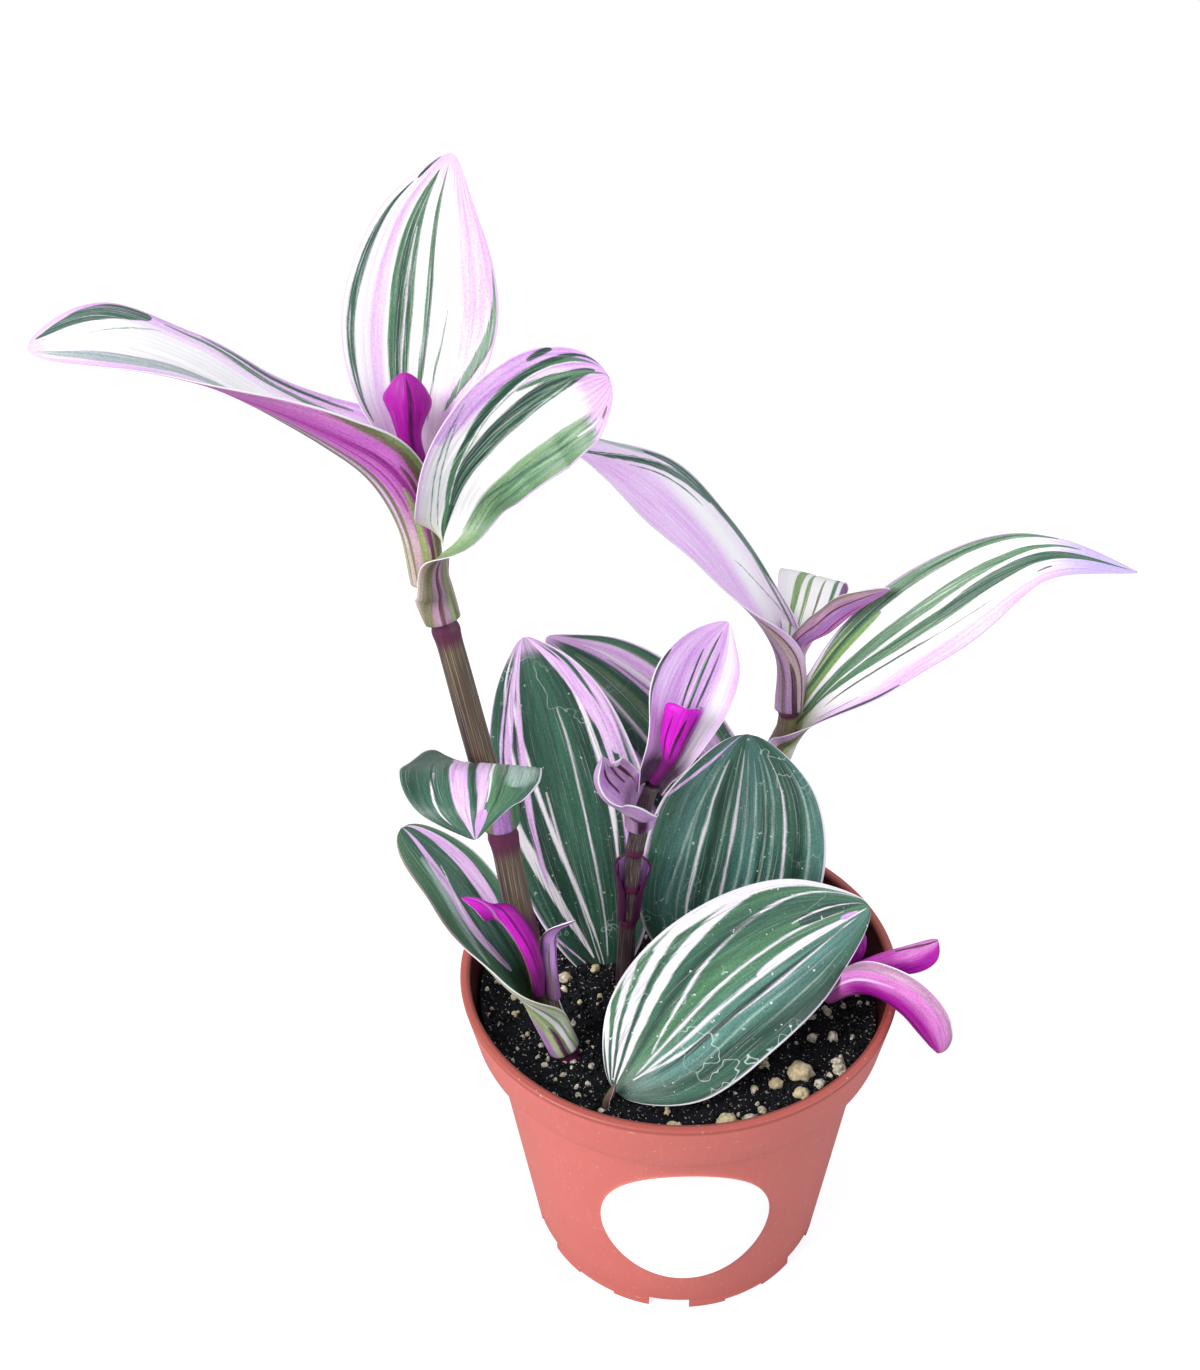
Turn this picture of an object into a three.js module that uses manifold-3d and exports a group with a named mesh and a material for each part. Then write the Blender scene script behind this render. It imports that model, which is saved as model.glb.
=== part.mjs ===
// Potted tradescantia: four leafy shoots with pink, white and green striped
// leaves, growing in dark soil in a plain round nursery pot.
// Millimetres, +Z up. The origin is on the pot's axis, in the plane that the pot
// stands on. The front of the plant faces -Y.
import * as THREE from 'three';
import { mergeVertices } from 'three/addons/utils/BufferGeometryUtils.js';
import Module from 'manifold-3d';

const wasm = await Module();
wasm.setup();

// Pot: a rim collar over a tapered body, on a low foot ring
const POT_HEIGHT = 82.1;
const RIM_RADIUS = 52.5;
const RIM_WIDTH = 2.5;
const RIM_ROUNDING = 0.8;
const COLLAR_HEIGHT = 14.2;
const COLLAR_BOTTOM_RADIUS = 49.8;
const BODY_TOP_RADIUS = 46.2;
const BODY_BOTTOM_RADIUS = 37.9;
const FOOT_HEIGHT = 3.6;
const FOOT_RADIUS = 37.5;
const FOOT_WALL = 2.2;
const WALL = 1.4;
const LEDGE = 1.0;
const FLOOR_RAISE = 1.2;
const FLOOR_THICKNESS = 1.6;
const POT_SIDES = 60;

// Drain notches through the foot, and shallow reliefs midway between them
const FOOT_PATTERN = 6;
const FOOT_PATTERN_START = -6;
const NOTCH = { width: 10, depth: 9, height: 3.3 };
const RELIEF = { width: 10.6, depth: 2.4, height: 1 };

// Bare round label on the front of the body
const LABEL = { width: 40.7, height: 44.2, thickness: 0.3, middle: 37.1, angle: -0.008, rings: 4, sides: 28 };

// Soil, lower at the right, with pale mineral grains in its surface
const SOIL_LEVEL = 72;
const SOIL_SLOPE = -0.042;
const SOIL_ROUGHNESS = 0.7;
const SOIL_RINGS = 5;
const GRAIN_COUNT = 24;
const GRAIN_SIZES = [0.8, 1.9];
const GRAIN_SEED = 20;
const BIG_GRAINS = [
  [8.5, -41.5, 2.3], [13.5, -41, 1.9], [26.5, -27.5, 2.8], [35.5, -26.5, 1.8], [20.5, -30, 1.6],
  [26, -33, 1.8], [30.5, -30.5, 1.4], [35.5, -24, 1.5], [-27.5, 3.5, 1.7], [-31, -10, 1.4],
];

// Leaves, stems and the clear space between touching pieces
const LEAF_THICKNESS = 0.7;
const NARROWEST = 1.2;
const STEM_SIDES = 10;
const GAP = 0.35;
const LEAST_GAP = 0.12;
const TINY_EDGE = 0.03;

// Stems: stations x, y, z and radius, from the root upwards
const STEMS = {
  stem_a: [
    [-22.5, -22.5, 62, 3.2], [-29, -20, 79.5, 2.5], [-32, -19, 93, 2.5], [-36, -17, 113.5, 3.0],
    [-38.5, -15, 133, 3.0], [-43.3, -12, 159, 2.8], [-47.4, -9, 180.5, 2.6], [-50.2, -7, 190, 2.3],
    [-51.6, -6.2, 196.5, 2.0], [-50.4, -6.8, 204, 1.5],
  ],
  stem_b: [
    [10.5, 22, 62, 3.2], [16, 26, 90.5, 2.9], [21, 28, 108, 2.8], [26, 29, 122, 2.2],
    [28, 30, 132.5, 2.2], [28, 31, 141, 1.8],
  ],
  stem_c: [
    [-13.5, 1, 62, 2.4], [-12, 4, 88, 2.1], [-11, 4, 100.5, 1.9], [-10, 4, 112.5, 2.0],
    [-8, 3.5, 124, 1.9], [-6, 3, 131.5, 1.6],
  ],
  stem_d: [
    [28, 1.5, 62, 1.8], [29.5, -5, 72, 1.6], [34.5, -10, 79, 1.3], [38, -10.5, 82, 1.1], [41.5, -8, 85.3, 0.9],
  ],
};

// Row of values at t, from 0 to 1, on a smooth curve through all the rows
function rowAt(rows, t) {
  const last = rows.length - 1;
  const place = Math.min(Math.max(t, 0), 1) * last;
  const start = Math.min(Math.floor(place), last - 1);
  const f = place - start;
  const before = (k) => 2 * rows[0][k] - rows[1][k];
  const after = (k) => 2 * rows[last][k] - rows[last - 1][k];
  return rows[0].map((_, k) => {
    const a = start > 0 ? rows[start - 1][k] : before(k);
    const b = rows[start][k];
    const c = rows[start + 1][k];
    const d = start + 2 <= last ? rows[start + 2][k] : after(k);
    const linear = (c - a) * f;
    const square = (2 * a - 5 * b + 4 * c - d) * f * f;
    const cube = (3 * b - a - 3 * c + d) * f * f * f;
    return 0.5 * (2 * b + linear + square + cube);
  });
}

// Direction of travel along the rows at t
function directionAt(rows, t) {
  const step = 0.001;
  const ahead = rowAt(rows, t + step);
  const behind = rowAt(rows, t - step);
  return new THREE.Vector3(ahead[0] - behind[0], ahead[1] - behind[1], ahead[2] - behind[2]).normalize();
}

// Leaf station that wraps a stem: its midrib lies on the given side of the stem
function around(stem, station, side, width, cup) {
  const rows = STEMS[stem];
  const t = station / (rows.length - 1);
  const middle = new THREE.Vector3(...rowAt(rows, t).slice(0, 3));
  const out = new THREE.Vector3(...side).projectOnPlane(directionAt(rows, t)).normalize();
  const radius = width / THREE.MathUtils.degToRad(cup);
  const rib = middle.addScaledVector(out, radius);
  return [rib.x, rib.y, rib.z, width, cup, -out.x, -out.y, -out.z];
}

// Leaves: stations along the midrib, each with its place x, y, z, the width
// measured round the curve, the angle in degrees through which the width is
// cupped, and the direction that the upper side faces. tip and base round off
// the ends: the lower the number, the longer the taper. Each leaf keeps clear of
// the stems and of the leaves above it in the list.
const LEAVES = {
  leaf_a1: {
    along: 14,
    across: 8,
    rows: [
      around('stem_a', 7.05, [-1, -0.25, 0], 18, 335),
      [-54.5, -8, 202, 21, 300, 0.95, 0.2, 0.4],
      [-58.7, -10, 213, 28, 240, 0.8, 0.25, 0.6],
      [-66, -12, 221, 28, 140, 0.45, 0.3, 0.9],
      [-76.5, -14, 229.5, 25, 80, 0.2, 0.2, 1],
      [-88, -15, 237.5, 25, 40, 0, 0, 1],
      [-100.5, -17, 242.5, 27, 25, -0.05, -0.2, 1],
      [-112, -19, 242.5, 16, 20, -0.1, -0.35, 1],
    ],
  },
  leaf_a2: {
    along: 11,
    across: 6,
    rows: [
      [-50.3, -4, 203.4, 13, 257, 0, -1, 0.2],
      [-49.8, -4, 210, 12, 240, 0, -1, 0.3],
      [-50, 2, 224.5, 25, 100, 0, -1, 0.3],
      [-48.3, 6, 238.5, 29.5, 45, 0.05, -1, 0.35],
      [-45.5, 10, 253, 23, 30, 0.05, -1, 0.4],
      [-41, 13, 265.5, 9, 20, 0.1, -1, 0.4],
    ],
  },
  leaf_a3: {
    along: 13,
    across: 8,
    tip: 12,
    rows: [
      around('stem_a', 6.1, [1, -0.5, 0], 19.5, 330),
      around('stem_a', 6.6, [1, -0.6, 0], 15.5, 220),
      [-46, -13, 197.5, 10, 120, -0.2, 0, 0.6],
      [-41.5, -15, 212, 17.5, 60, 0.4, -0.6, 0.6],
      [-34.5, -16, 221, 21, 50, 0.5, -0.6, 0.6],
      [-26.5, -17, 227.5, 22, 45, 0.6, -0.6, 0.6],
      [-19.5, -18, 231.5, 20, 40, 0.7, -0.6, 0.6],
      [-14, -19, 234.5, 15, 30, 0.8, -0.6, 0.6],
    ],
  },
  bud_a: {
    along: 8,
    across: 4,
    tip: 20,
    rows: [
      [-50.2, -7.9, 205.5, 5.6, 250, 0, 1, 0],
      [-49.8, -8, 212, 6.4, 240, 0, 1, 0],
      [-51, -8, 219.5, 8, 230, 0, 1, 0],
      [-51, -7, 226.5, 13, 180, 0, 1, 0],
      [-51, -5, 231.5, 4, 90, 0, 1, 0],
    ],
  },
  leaf_b1: {
    along: 12,
    across: 8,
    rows: [
      around('stem_b', 4.1, [-1, -0.1, 0], 18.5, 335),
      [24.5, 31, 148, 18, 270, 0.8, -0.1, 0.6],
      [17.5, 32, 162.5, 17, 120, 0.4, -0.3, 0.8],
      [8, 33, 178, 16.5, 20, 0.15, -0.5, 0.9],
      [-3.5, 33, 191, 16.5, -20, 0, -0.6, 0.9],
      [-15.5, 32, 199, 12, -20, 0, -0.4, 1],
      [-24, 31, 202.5, 7, 10, 0, -0.2, 1],
    ],
  },
  leaf_b2: {
    along: 14,
    across: 8,
    rows: [
      around('stem_b', 2.95, [1, -0.2, 0], 19, 335),
      around('stem_b', 3.45, [1, -0.2, 0], 16, 230),
      [35.5, 24, 139.5, 15, 100, -0.6, -0.4, 0.7],
      [44.5, 21, 152.5, 20, 50, -0.35, -0.75, 0.75],
      [56, 18, 165, 22, 35, -0.2, -0.7, 0.8],
      [69.5, 16, 176, 18, 25, 0, -0.6, 0.9],
      [81, 14, 180.5, 12, 15, 0.1, -0.55, 1],
      [97.5, 12, 177.5, 4, 10, 0.2, -0.5, 1],
    ],
  },
  leaf_b3: {
    along: 10,
    across: 4,
    rows: [
      [28.6, 32.4, 143.3, 4.5, 150, 0, -1, 0.3],
      [29.3, 32.6, 149, 6, 90, 0, -1, 0.3],
      [31.5, 38, 156.5, 13, 40, 0, -0.8, 0.6],
      [35, 50, 158, 16, 10, 0, -0.3, 1],
      [40.5, 62, 150, 14, -10, 0.05, 0.1, 1],
      [45, 68, 137.5, 5, 10, 0.1, 0.6, 1],
    ],
  },
  leaf_b4: {
    along: 10,
    across: 5,
    rows: [
      [28.8, 29.2, 143.5, 6, 300, 0, 1, 0.1],
      [31, 29, 151.5, 10, 280, -0.2, 0.3, 1],
      [35.5, 26, 157, 13, 250, -0.1, 0.35, 1],
      [40.5, 23, 164, 12, 220, 0, 0.4, 1],
      [47.5, 21, 170, 7, 160, 0, 0.4, 1],
    ],
  },
  leaf_c1: {
    along: 10,
    across: 6,
    base: 20,
    rows: [
      [-17, 7, 66, 8, 70, 0, -1, 0.5],
      [-19, 12, 84, 26, 60, 0, -1, 0.5],
      [-23, 17, 108.5, 37, 45, 0, -1, 0.5],
      [-27.5, 23, 129.5, 34, 35, 0, -1, 0.5],
      [-31.5, 28, 144.5, 24, 30, 0.05, -1, 0.5],
      [-34.5, 32, 154, 11, 20, 0.1, -1, 0.5],
    ],
  },
  leaf_c2: {
    along: 10,
    across: 6,
    rows: [
      [20.5, 28, 66, 9, 80, -0.2, -1, 0.5],
      [19.5, 30, 79, 12, 60, -0.2, -1, 0.5],
      [8, 35, 103, 30, 40, -0.25, -1, 0.55],
      [-4.5, 39, 122.5, 34, 30, -0.3, -1, 0.6],
      [-17, 40, 138, 26, 30, -0.3, -1, 0.7],
      [-29.5, 37, 151, 9, 20, -0.3, -1, 0.8],
    ],
  },
  leaf_c3: {
    along: 10,
    across: 6,
    tip: 10,
    base: 20,
    rows: [
      [7, 8.5, 66, 10, 60, 0, -1, 0.4],
      [10, 9, 84.5, 38, 30, 0, -1, 0.4],
      [13.8, 12, 100.8, 44, 20, 0, -1, 0.45],
      [16, 16, 117.7, 38, 20, 0, -1, 0.5],
      [17.2, 20, 133.2, 20, 15, 0, -1, 0.5],
    ],
  },
  leaf_c4: {
    along: 12,
    across: 6,
    tip: 14,
    base: 14,
    rows: [
      [-16, -33, 73.5, 15, 60, -0.2, -0.8, 0.8],
      [-5.2, -27, 81.5, 32, 30, -0.15, -0.8, 0.8],
      [8.8, -18, 89.8, 36, 10, -0.1, -0.8, 0.8],
      [26.6, -8, 94.7, 30, 2, 0, -0.8, 0.8],
      [45, 0, 97, 11, 10, 0.1, -0.8, 0.8],
    ],
  },
  leaf_a4: {
    along: 12,
    across: 8,
    rows: [
      around('stem_a', 4.1, [0, -1, 0], 20.5, 300),
      [-39.5, -20, 148.5, 19, 120, 0, 0.6, 0.6],
      [-41.5, -24, 157.5, 25, 10, 0, -0.2, 1],
      [-42, -36, 164.5, 27, -25, 0.05, -0.6, 0.8],
      [-41.5, -45, 163.5, 21, -30, 0.1, -0.95, 0.4],
      [-40.5, -49, 158.5, 6, -20, 0.1, -1, 0.3],
    ],
  },
  leaf_a5: {
    along: 12,
    across: 8,
    tip: 10,
    rows: [
      around('stem_a', 0.72, [-1, -0.3, 0], 20.5, 335),
      around('stem_a', 1.35, [-1, -0.3, 0], 20, 280),
      [-38.5, -21, 99, 20, 165, 0.55, -0.3, 0.8],
      [-44.5, -19, 110.5, 19.5, 115, 0.5, -0.5, 0.8],
      [-51.5, -15, 121.5, 18, 85, 0.4, -0.6, 0.8],
      [-60.5, -12, 133, 14, 40, 0.3, -0.7, 0.8],
    ],
  },
  shoot_e1: {
    along: 10,
    across: 5,
    rows: [
      [-32.6, -24.6, 95, 6, 300, 0.2, 1, 0.1],
      [-33.2, -26, 103, 8, 300, 0.4, 0.8, 0.2],
      [-35.2, -27, 112.5, 9, 260, 0.3, 0.6, -0.1],
      [-38.8, -27, 120.5, 8, 220, 0.2, 0.2, -0.4],
      [-43, -27, 125, 6.5, 200, 0.1, -0.2, -0.8],
      [-47, -27, 126, 3, 150, 0, -0.5, -1],
    ],
  },
  shoot_e2: {
    along: 8,
    across: 4,
    rows: [
      [-28.2, -23.6, 93, 7, 300, -0.7, 0.7, 0.2],
      [-29, -23.6, 106.5, 6, 220, -0.4, 0.6, 0.4],
      [-28, -25, 114, 4, 120, -0.2, 0.5, 0.8],
      [-23.5, -27, 119, 1.5, 60, 0, 0.5, 1],
    ],
  },
  leaf_c6: {
    along: 10,
    across: 8,
    rows: [
      around('stem_c', 3.6, [-1, -0.4, 0], 16, 300),
      around('stem_c', 4, [-1, -0.4, 0], 18, 240),
      [-13.4, 0.3, 128.4, 21, 170, 0.95, 0.1, 0.4],
      [-16.7, 0, 132.5, 20.5, 135, 0.8, -0.1, 0.6],
      [-18.1, 0, 137, 17, 100, 0.9, -0.25, 0.4],
      [-17, 1, 141, 9.5, 80, 1, -0.3, 0.1],
    ],
  },
  leaf_c5: {
    along: 10,
    across: 6,
    rows: [
      around('stem_c', 4.8, [-0.2, 1, 0], 10.5, 210),
      [-4.9, 4.6, 136.2, 12, 170, 0.2, -1, 0.3],
      [-2.5, 3, 142, 14, 120, 0.3, -1, 0.4],
      [1.5, 7, 151.5, 20, 60, 0.3, -1, 0.4],
      [6.5, 11, 160.5, 18, 40, 0.2, -1, 0.45],
      [11, 13, 167.5, 8, 20, 0.1, -1, 0.5],
    ],
  },
  bud_c: {
    along: 7,
    across: 4,
    tip: 40,
    rows: [
      [-5.6, 1.4, 133, 5, 280, 0, 1, 0],
      [-2.5, -1.8, 140.5, 6, 260, 0, 1, 0],
      [-1, -1.2, 146.4, 10, 200, 0, 1, 0],
      [1.5, -0.4, 154, 12, 150, 0, 1, 0],
    ],
  },
  sheath_c: {
    along: 6,
    across: 8,
    tip: 20,
    rows: [
      around('stem_c', 1.25, [0, 1, 0], 14, 320),
      around('stem_c', 1.9, [0, 1, 0], 15.5, 300),
      around('stem_c', 2.6, [0, 1, 0], 17, 190),
    ],
  },
  leaf_d1: {
    along: 12,
    across: 8,
    rows: [
      around('stem_d', 2.1, [0, -0.4, -1], 12.5, 320),
      [40, -15.5, 84.5, 15, 250, 0.35, 0.45, 0.8],
      [44.5, -20, 87.5, 21, 190, 0.5, 0.5, 0.7],
      [49, -24, 86.5, 24, 150, 0.65, 0.5, 0.5],
      [53, -26.5, 82.5, 22, 115, 0.7, 0.45, 0.4],
      [57, -28, 77.5, 13, 80, 0.75, 0.4, 0.3],
    ],
  },
  leaf_d2: {
    along: 8,
    across: 8,
    tip: 14,
    rows: [
      around('stem_d', 3.6, [0, 0.3, 1], 11, 330),
      [46.5, -8, 88.7, 12.5, 290, 0.25, -0.35, -1],
      [53.5, -9, 92.2, 14.5, 215, 0.25, -0.45, -1],
      [59.5, -9, 94.2, 12, 150, 0.3, -0.45, -1],
    ],
  },
  leaf_d3: {
    along: 6,
    across: 4,
    rows: [
      [40.8, -6, 82.8, 7, 160, -1, 1, 0],
      [43.6, -3.6, 86.4, 8, 110, -1, 1, 0],
      [42.5, -1.2, 92, 2, 60, -1, 1, 0],
    ],
  },
  bract: {
    along: 6,
    across: 4,
    rows: [
      [-19, -36, 68.5, 3.5, 160, 1, -0.3, 0],
      [-18.3, -35.5, 73.5, 5, 150, 1, -0.3, 0],
      [-16, -34.5, 77.5, 3, 90, 1, -0.3, 0],
    ],
  },
};

// Closed solid from a geometry, with doubled corners merged
function solid(geometry) {
  const bare = geometry.clone();
  bare.deleteAttribute('normal');
  bare.deleteAttribute('uv');
  const merged = mergeVertices(bare, 1e-4);
  const index = merged.index.array;
  const triangles = [];
  for (let k = 0; k < index.length; k += 3) {
    const [a, b, c] = [index[k], index[k + 1], index[k + 2]];
    if (a !== b && b !== c && c !== a) {
      triangles.push(a, b, c);
    }
  }
  const vertProperties = new Float32Array(merged.attributes.position.array);
  return new wasm.Manifold(new wasm.Mesh({ numProp: 3, vertProperties, triVerts: new Uint32Array(triangles) }));
}

// Geometry with flat faces from a closed solid
function geometryOf(body) {
  const mesh = body.getMesh();
  const geometry = new THREE.BufferGeometry();
  geometry.setAttribute('position', new THREE.BufferAttribute(new Float32Array(mesh.vertProperties), 3));
  geometry.setIndex(Array.from(mesh.triVerts));
  geometry.computeVertexNormals();
  return geometry;
}

// Geometry from lists of points and of triangles
function meshFrom(points, triangles) {
  const geometry = new THREE.BufferGeometry();
  geometry.setFromPoints(points);
  geometry.setIndex(triangles);
  return geometry;
}

// Largest of the separate bodies in a solid, without its tiny edges
function mainBody(body) {
  const bodies = body.simplify(TINY_EDGE).decompose();
  bodies.sort((a, b) => b.volume() - a.volume());
  return bodies[0];
}

// Rows of points across a leaf, on the upper or under side of its middle surface
function leafSide(leaf, offset, grow) {
  const { rows, along, across, tip = 8, base } = leaf;
  const points = [];
  for (let i = 0; i <= along; i += 1) {
    const t = i / along;
    const [x, y, z, fullWidth, cupDegrees, ...face] = rowAt(rows, t);
    const travel = directionAt(rows, t);
    const up = new THREE.Vector3(...face).projectOnPlane(travel).normalize();
    const side = new THREE.Vector3().crossVectors(travel, up);
    const endStep = i === 0 ? -grow : i === along ? grow : 0;
    const middle = new THREE.Vector3(x, y, z).addScaledVector(travel, endStep);
    const tipTaper = Math.sqrt(Math.max(1 - t ** tip, 0));
    const baseTaper = base ? Math.sqrt(Math.max(1 - (1 - t) ** base, 0)) : 1;
    const width = Math.max(fullWidth * tipTaper * baseTaper, NARROWEST);
    const radius = width / THREE.MathUtils.degToRad(cupDegrees);
    for (let j = 0; j <= across; j += 1) {
      const reach = (2 * j / across - 1) * (width / 2 + grow);
      const angle = reach / radius;
      const sideways = (radius - offset) * Math.sin(angle);
      const lift = radius - (radius - offset) * Math.cos(angle);
      points.push(middle.clone().addScaledVector(side, sideways).addScaledVector(up, lift));
    }
  }
  return points;
}

// Leaf as a thin closed sheet, split into triangles alike on both faces
function leafGeometry(leaf, grow = 0) {
  const half = LEAF_THICKNESS / 2 + grow;
  const { along, across } = leaf;
  const upper = leafSide(leaf, half, grow);
  const under = leafSide(leaf, -half, grow);
  const at = (i, j) => i * (across + 1) + j;
  const below = upper.length;
  const triangles = [];
  for (let i = 0; i < along; i += 1) {
    for (let j = 0; j < across; j += 1) {
      const [a, b, c, d] = [at(i, j), at(i + 1, j), at(i + 1, j + 1), at(i, j + 1)];
      triangles.push(a, c, b, a, d, c);
      triangles.push(below + a, below + b, below + c, below + a, below + c, below + d);
    }
  }
  const edge = [];
  for (let j = 0; j < across; j += 1) edge.push(at(0, j));
  for (let i = 0; i < along; i += 1) edge.push(at(i, across));
  for (let j = across; j > 0; j -= 1) edge.push(at(along, j));
  for (let i = along; i > 0; i -= 1) edge.push(at(i, 0));
  edge.forEach((p, k) => {
    const q = edge[(k + 1) % edge.length];
    triangles.push(q, p, below + p, q, below + p, below + q);
  });
  return meshFrom([...upper, ...under], triangles);
}

// Stem as a closed tube with flat ends
function stemGeometry(rows, grow = 0) {
  const steps = (rows.length - 1) * 2;
  const points = [];
  for (let i = 0; i <= steps; i += 1) {
    const t = i / steps;
    const [x, y, z, radius] = rowAt(rows, t);
    const travel = directionAt(rows, t);
    const first = new THREE.Vector3().crossVectors(travel, new THREE.Vector3(0, 1, 0)).normalize();
    const second = new THREE.Vector3().crossVectors(travel, first);
    const endStep = i === 0 ? -grow : i === steps ? grow : 0;
    const middle = new THREE.Vector3(x, y, z).addScaledVector(travel, endStep);
    for (let k = 0; k < STEM_SIDES; k += 1) {
      const angle = (k / STEM_SIDES) * Math.PI * 2;
      const point = middle.clone().addScaledVector(first, (radius + grow) * Math.cos(angle));
      points.push(point.addScaledVector(second, (radius + grow) * Math.sin(angle)));
    }
  }
  const at = (i, k) => i * STEM_SIDES + (k % STEM_SIDES);
  const triangles = [];
  for (let i = 0; i < steps; i += 1) {
    for (let k = 0; k < STEM_SIDES; k += 1) {
      triangles.push(at(i, k), at(i, k + 1), at(i + 1, k + 1));
      triangles.push(at(i, k), at(i + 1, k + 1), at(i + 1, k));
    }
  }
  for (let k = 1; k < STEM_SIDES - 1; k += 1) {
    triangles.push(at(0, 0), at(0, k + 1), at(0, k));
    triangles.push(at(steps, 0), at(steps, k), at(steps, k + 1));
  }
  return meshFrom(points, triangles);
}

// Turned shape whose profile is given as radius and height, +Z up
function turned(profile) {
  const lathe = new THREE.LatheGeometry(profile.map(([r, z]) => new THREE.Vector2(r, z)), POT_SIDES);
  return lathe.rotateX(Math.PI / 2);
}

// Block that cuts the foot at an angle from the front
function footCutter({ width, depth, height }, degrees) {
  const block = new THREE.BoxGeometry(width, depth, height * 2);
  block.translate(0, -FOOT_RADIUS, 0);
  return solid(block.rotateZ(THREE.MathUtils.degToRad(degrees)));
}

const BODY_TOP = POT_HEIGHT - COLLAR_HEIGHT;
const BODY_TAPER = (BODY_TOP_RADIUS - BODY_BOTTOM_RADIUS) / (BODY_TOP - FOOT_HEIGHT);
const FLOOR_TOP = FLOOR_RAISE + FLOOR_THICKNESS;

// Inside of the pot, as radius and height from the floor up to the rim
const INNER_WALL = [
  [BODY_BOTTOM_RADIUS - WALL, FLOOR_TOP],
  [BODY_TOP_RADIUS - WALL, BODY_TOP + LEDGE],
  [COLLAR_BOTTOM_RADIUS - WALL, BODY_TOP + LEDGE],
  [RIM_RADIUS - RIM_WIDTH, POT_HEIGHT - RIM_ROUNDING],
];

function potBody() {
  const shell = solid(turned([
    [0, FLOOR_RAISE],
    [FOOT_RADIUS - FOOT_WALL, FLOOR_RAISE],
    [FOOT_RADIUS - FOOT_WALL, 0],
    [FOOT_RADIUS, 0],
    [FOOT_RADIUS, FOOT_HEIGHT],
    [BODY_BOTTOM_RADIUS, FOOT_HEIGHT],
    [BODY_TOP_RADIUS, BODY_TOP],
    [COLLAR_BOTTOM_RADIUS, BODY_TOP],
    [RIM_RADIUS, POT_HEIGHT - RIM_ROUNDING],
    [RIM_RADIUS - RIM_ROUNDING / 2, POT_HEIGHT],
    [RIM_RADIUS - RIM_WIDTH + RIM_ROUNDING / 2, POT_HEIGHT],
    ...[...INNER_WALL].reverse(),
    [0, FLOOR_TOP],
  ]));
  let pot = shell;
  for (let k = 0; k < FOOT_PATTERN; k += 1) {
    const turn = FOOT_PATTERN_START + (360 / FOOT_PATTERN) * k;
    pot = pot.subtract(footCutter(NOTCH, turn));
    pot = pot.subtract(footCutter(RELIEF, turn + 180 / FOOT_PATTERN));
  }
  return pot;
}

// Round label bent to the tapered wall, in rings from its middle outwards
function labelBody() {
  const { rings, sides, thickness } = LABEL;
  const wallPoint = (ring, k, lift) => {
    const turn = (k / sides) * Math.PI * 2;
    const across = (LABEL.width / 2) * (ring / rings) * Math.cos(turn);
    const height = LABEL.middle + (LABEL.height / 2) * (ring / rings) * Math.sin(turn) * Math.cos(BODY_TAPER);
    const radius = BODY_BOTTOM_RADIUS + (height - FOOT_HEIGHT) * BODY_TAPER;
    const angle = LABEL.angle + across / radius;
    return new THREE.Vector3((radius + lift) * Math.sin(angle), -(radius + lift) * Math.cos(angle), height);
  };
  const points = [];
  for (const lift of [GAP, GAP + thickness]) {
    points.push(wallPoint(0, 0, lift));
    for (let ring = 1; ring <= rings; ring += 1) {
      for (let k = 0; k < sides; k += 1) points.push(wallPoint(ring, k, lift));
    }
  }
  const back = points.length / 2;
  const at = (ring, k) => (ring === 0 ? 0 : 1 + (ring - 1) * sides + (k % sides));
  const triangles = [];
  for (let ring = 0; ring < rings; ring += 1) {
    for (let k = 0; k < sides; k += 1) {
      const [a, b, c, d] = [at(ring, k), at(ring + 1, k), at(ring + 1, k + 1), at(ring, k + 1)];
      triangles.push(a, c, b, back + a, back + b, back + c);
      if (ring > 0) triangles.push(a, d, c, back + a, back + c, back + d);
    }
  }
  for (let k = 0; k < sides; k += 1) {
    const [p, q] = [at(rings, k), at(rings, k + 1)];
    triangles.push(p, q, back + q, p, back + q, back + p);
  }
  return solid(meshFrom(points, triangles));
}

// Repeatable random numbers from 0 to 1
function randomFrom(seed) {
  let state = seed;
  return () => {
    state = (state * 1103515245 + 12345) % 2147483648;
    return state / 2147483648;
  };
}

// Height of the soil at x, y: a gentle slope with crumbs
function soilHeight(x, y) {
  const coarse = Math.sin(x * 0.31 + 1.3) * Math.cos(y * 0.27 - 0.4);
  const fine = Math.sin(x * 0.83 - y * 0.61) * 0.6;
  return SOIL_LEVEL + SOIL_SLOPE * x + SOIL_ROUGHNESS * (coarse + fine) * 0.6;
}

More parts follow.
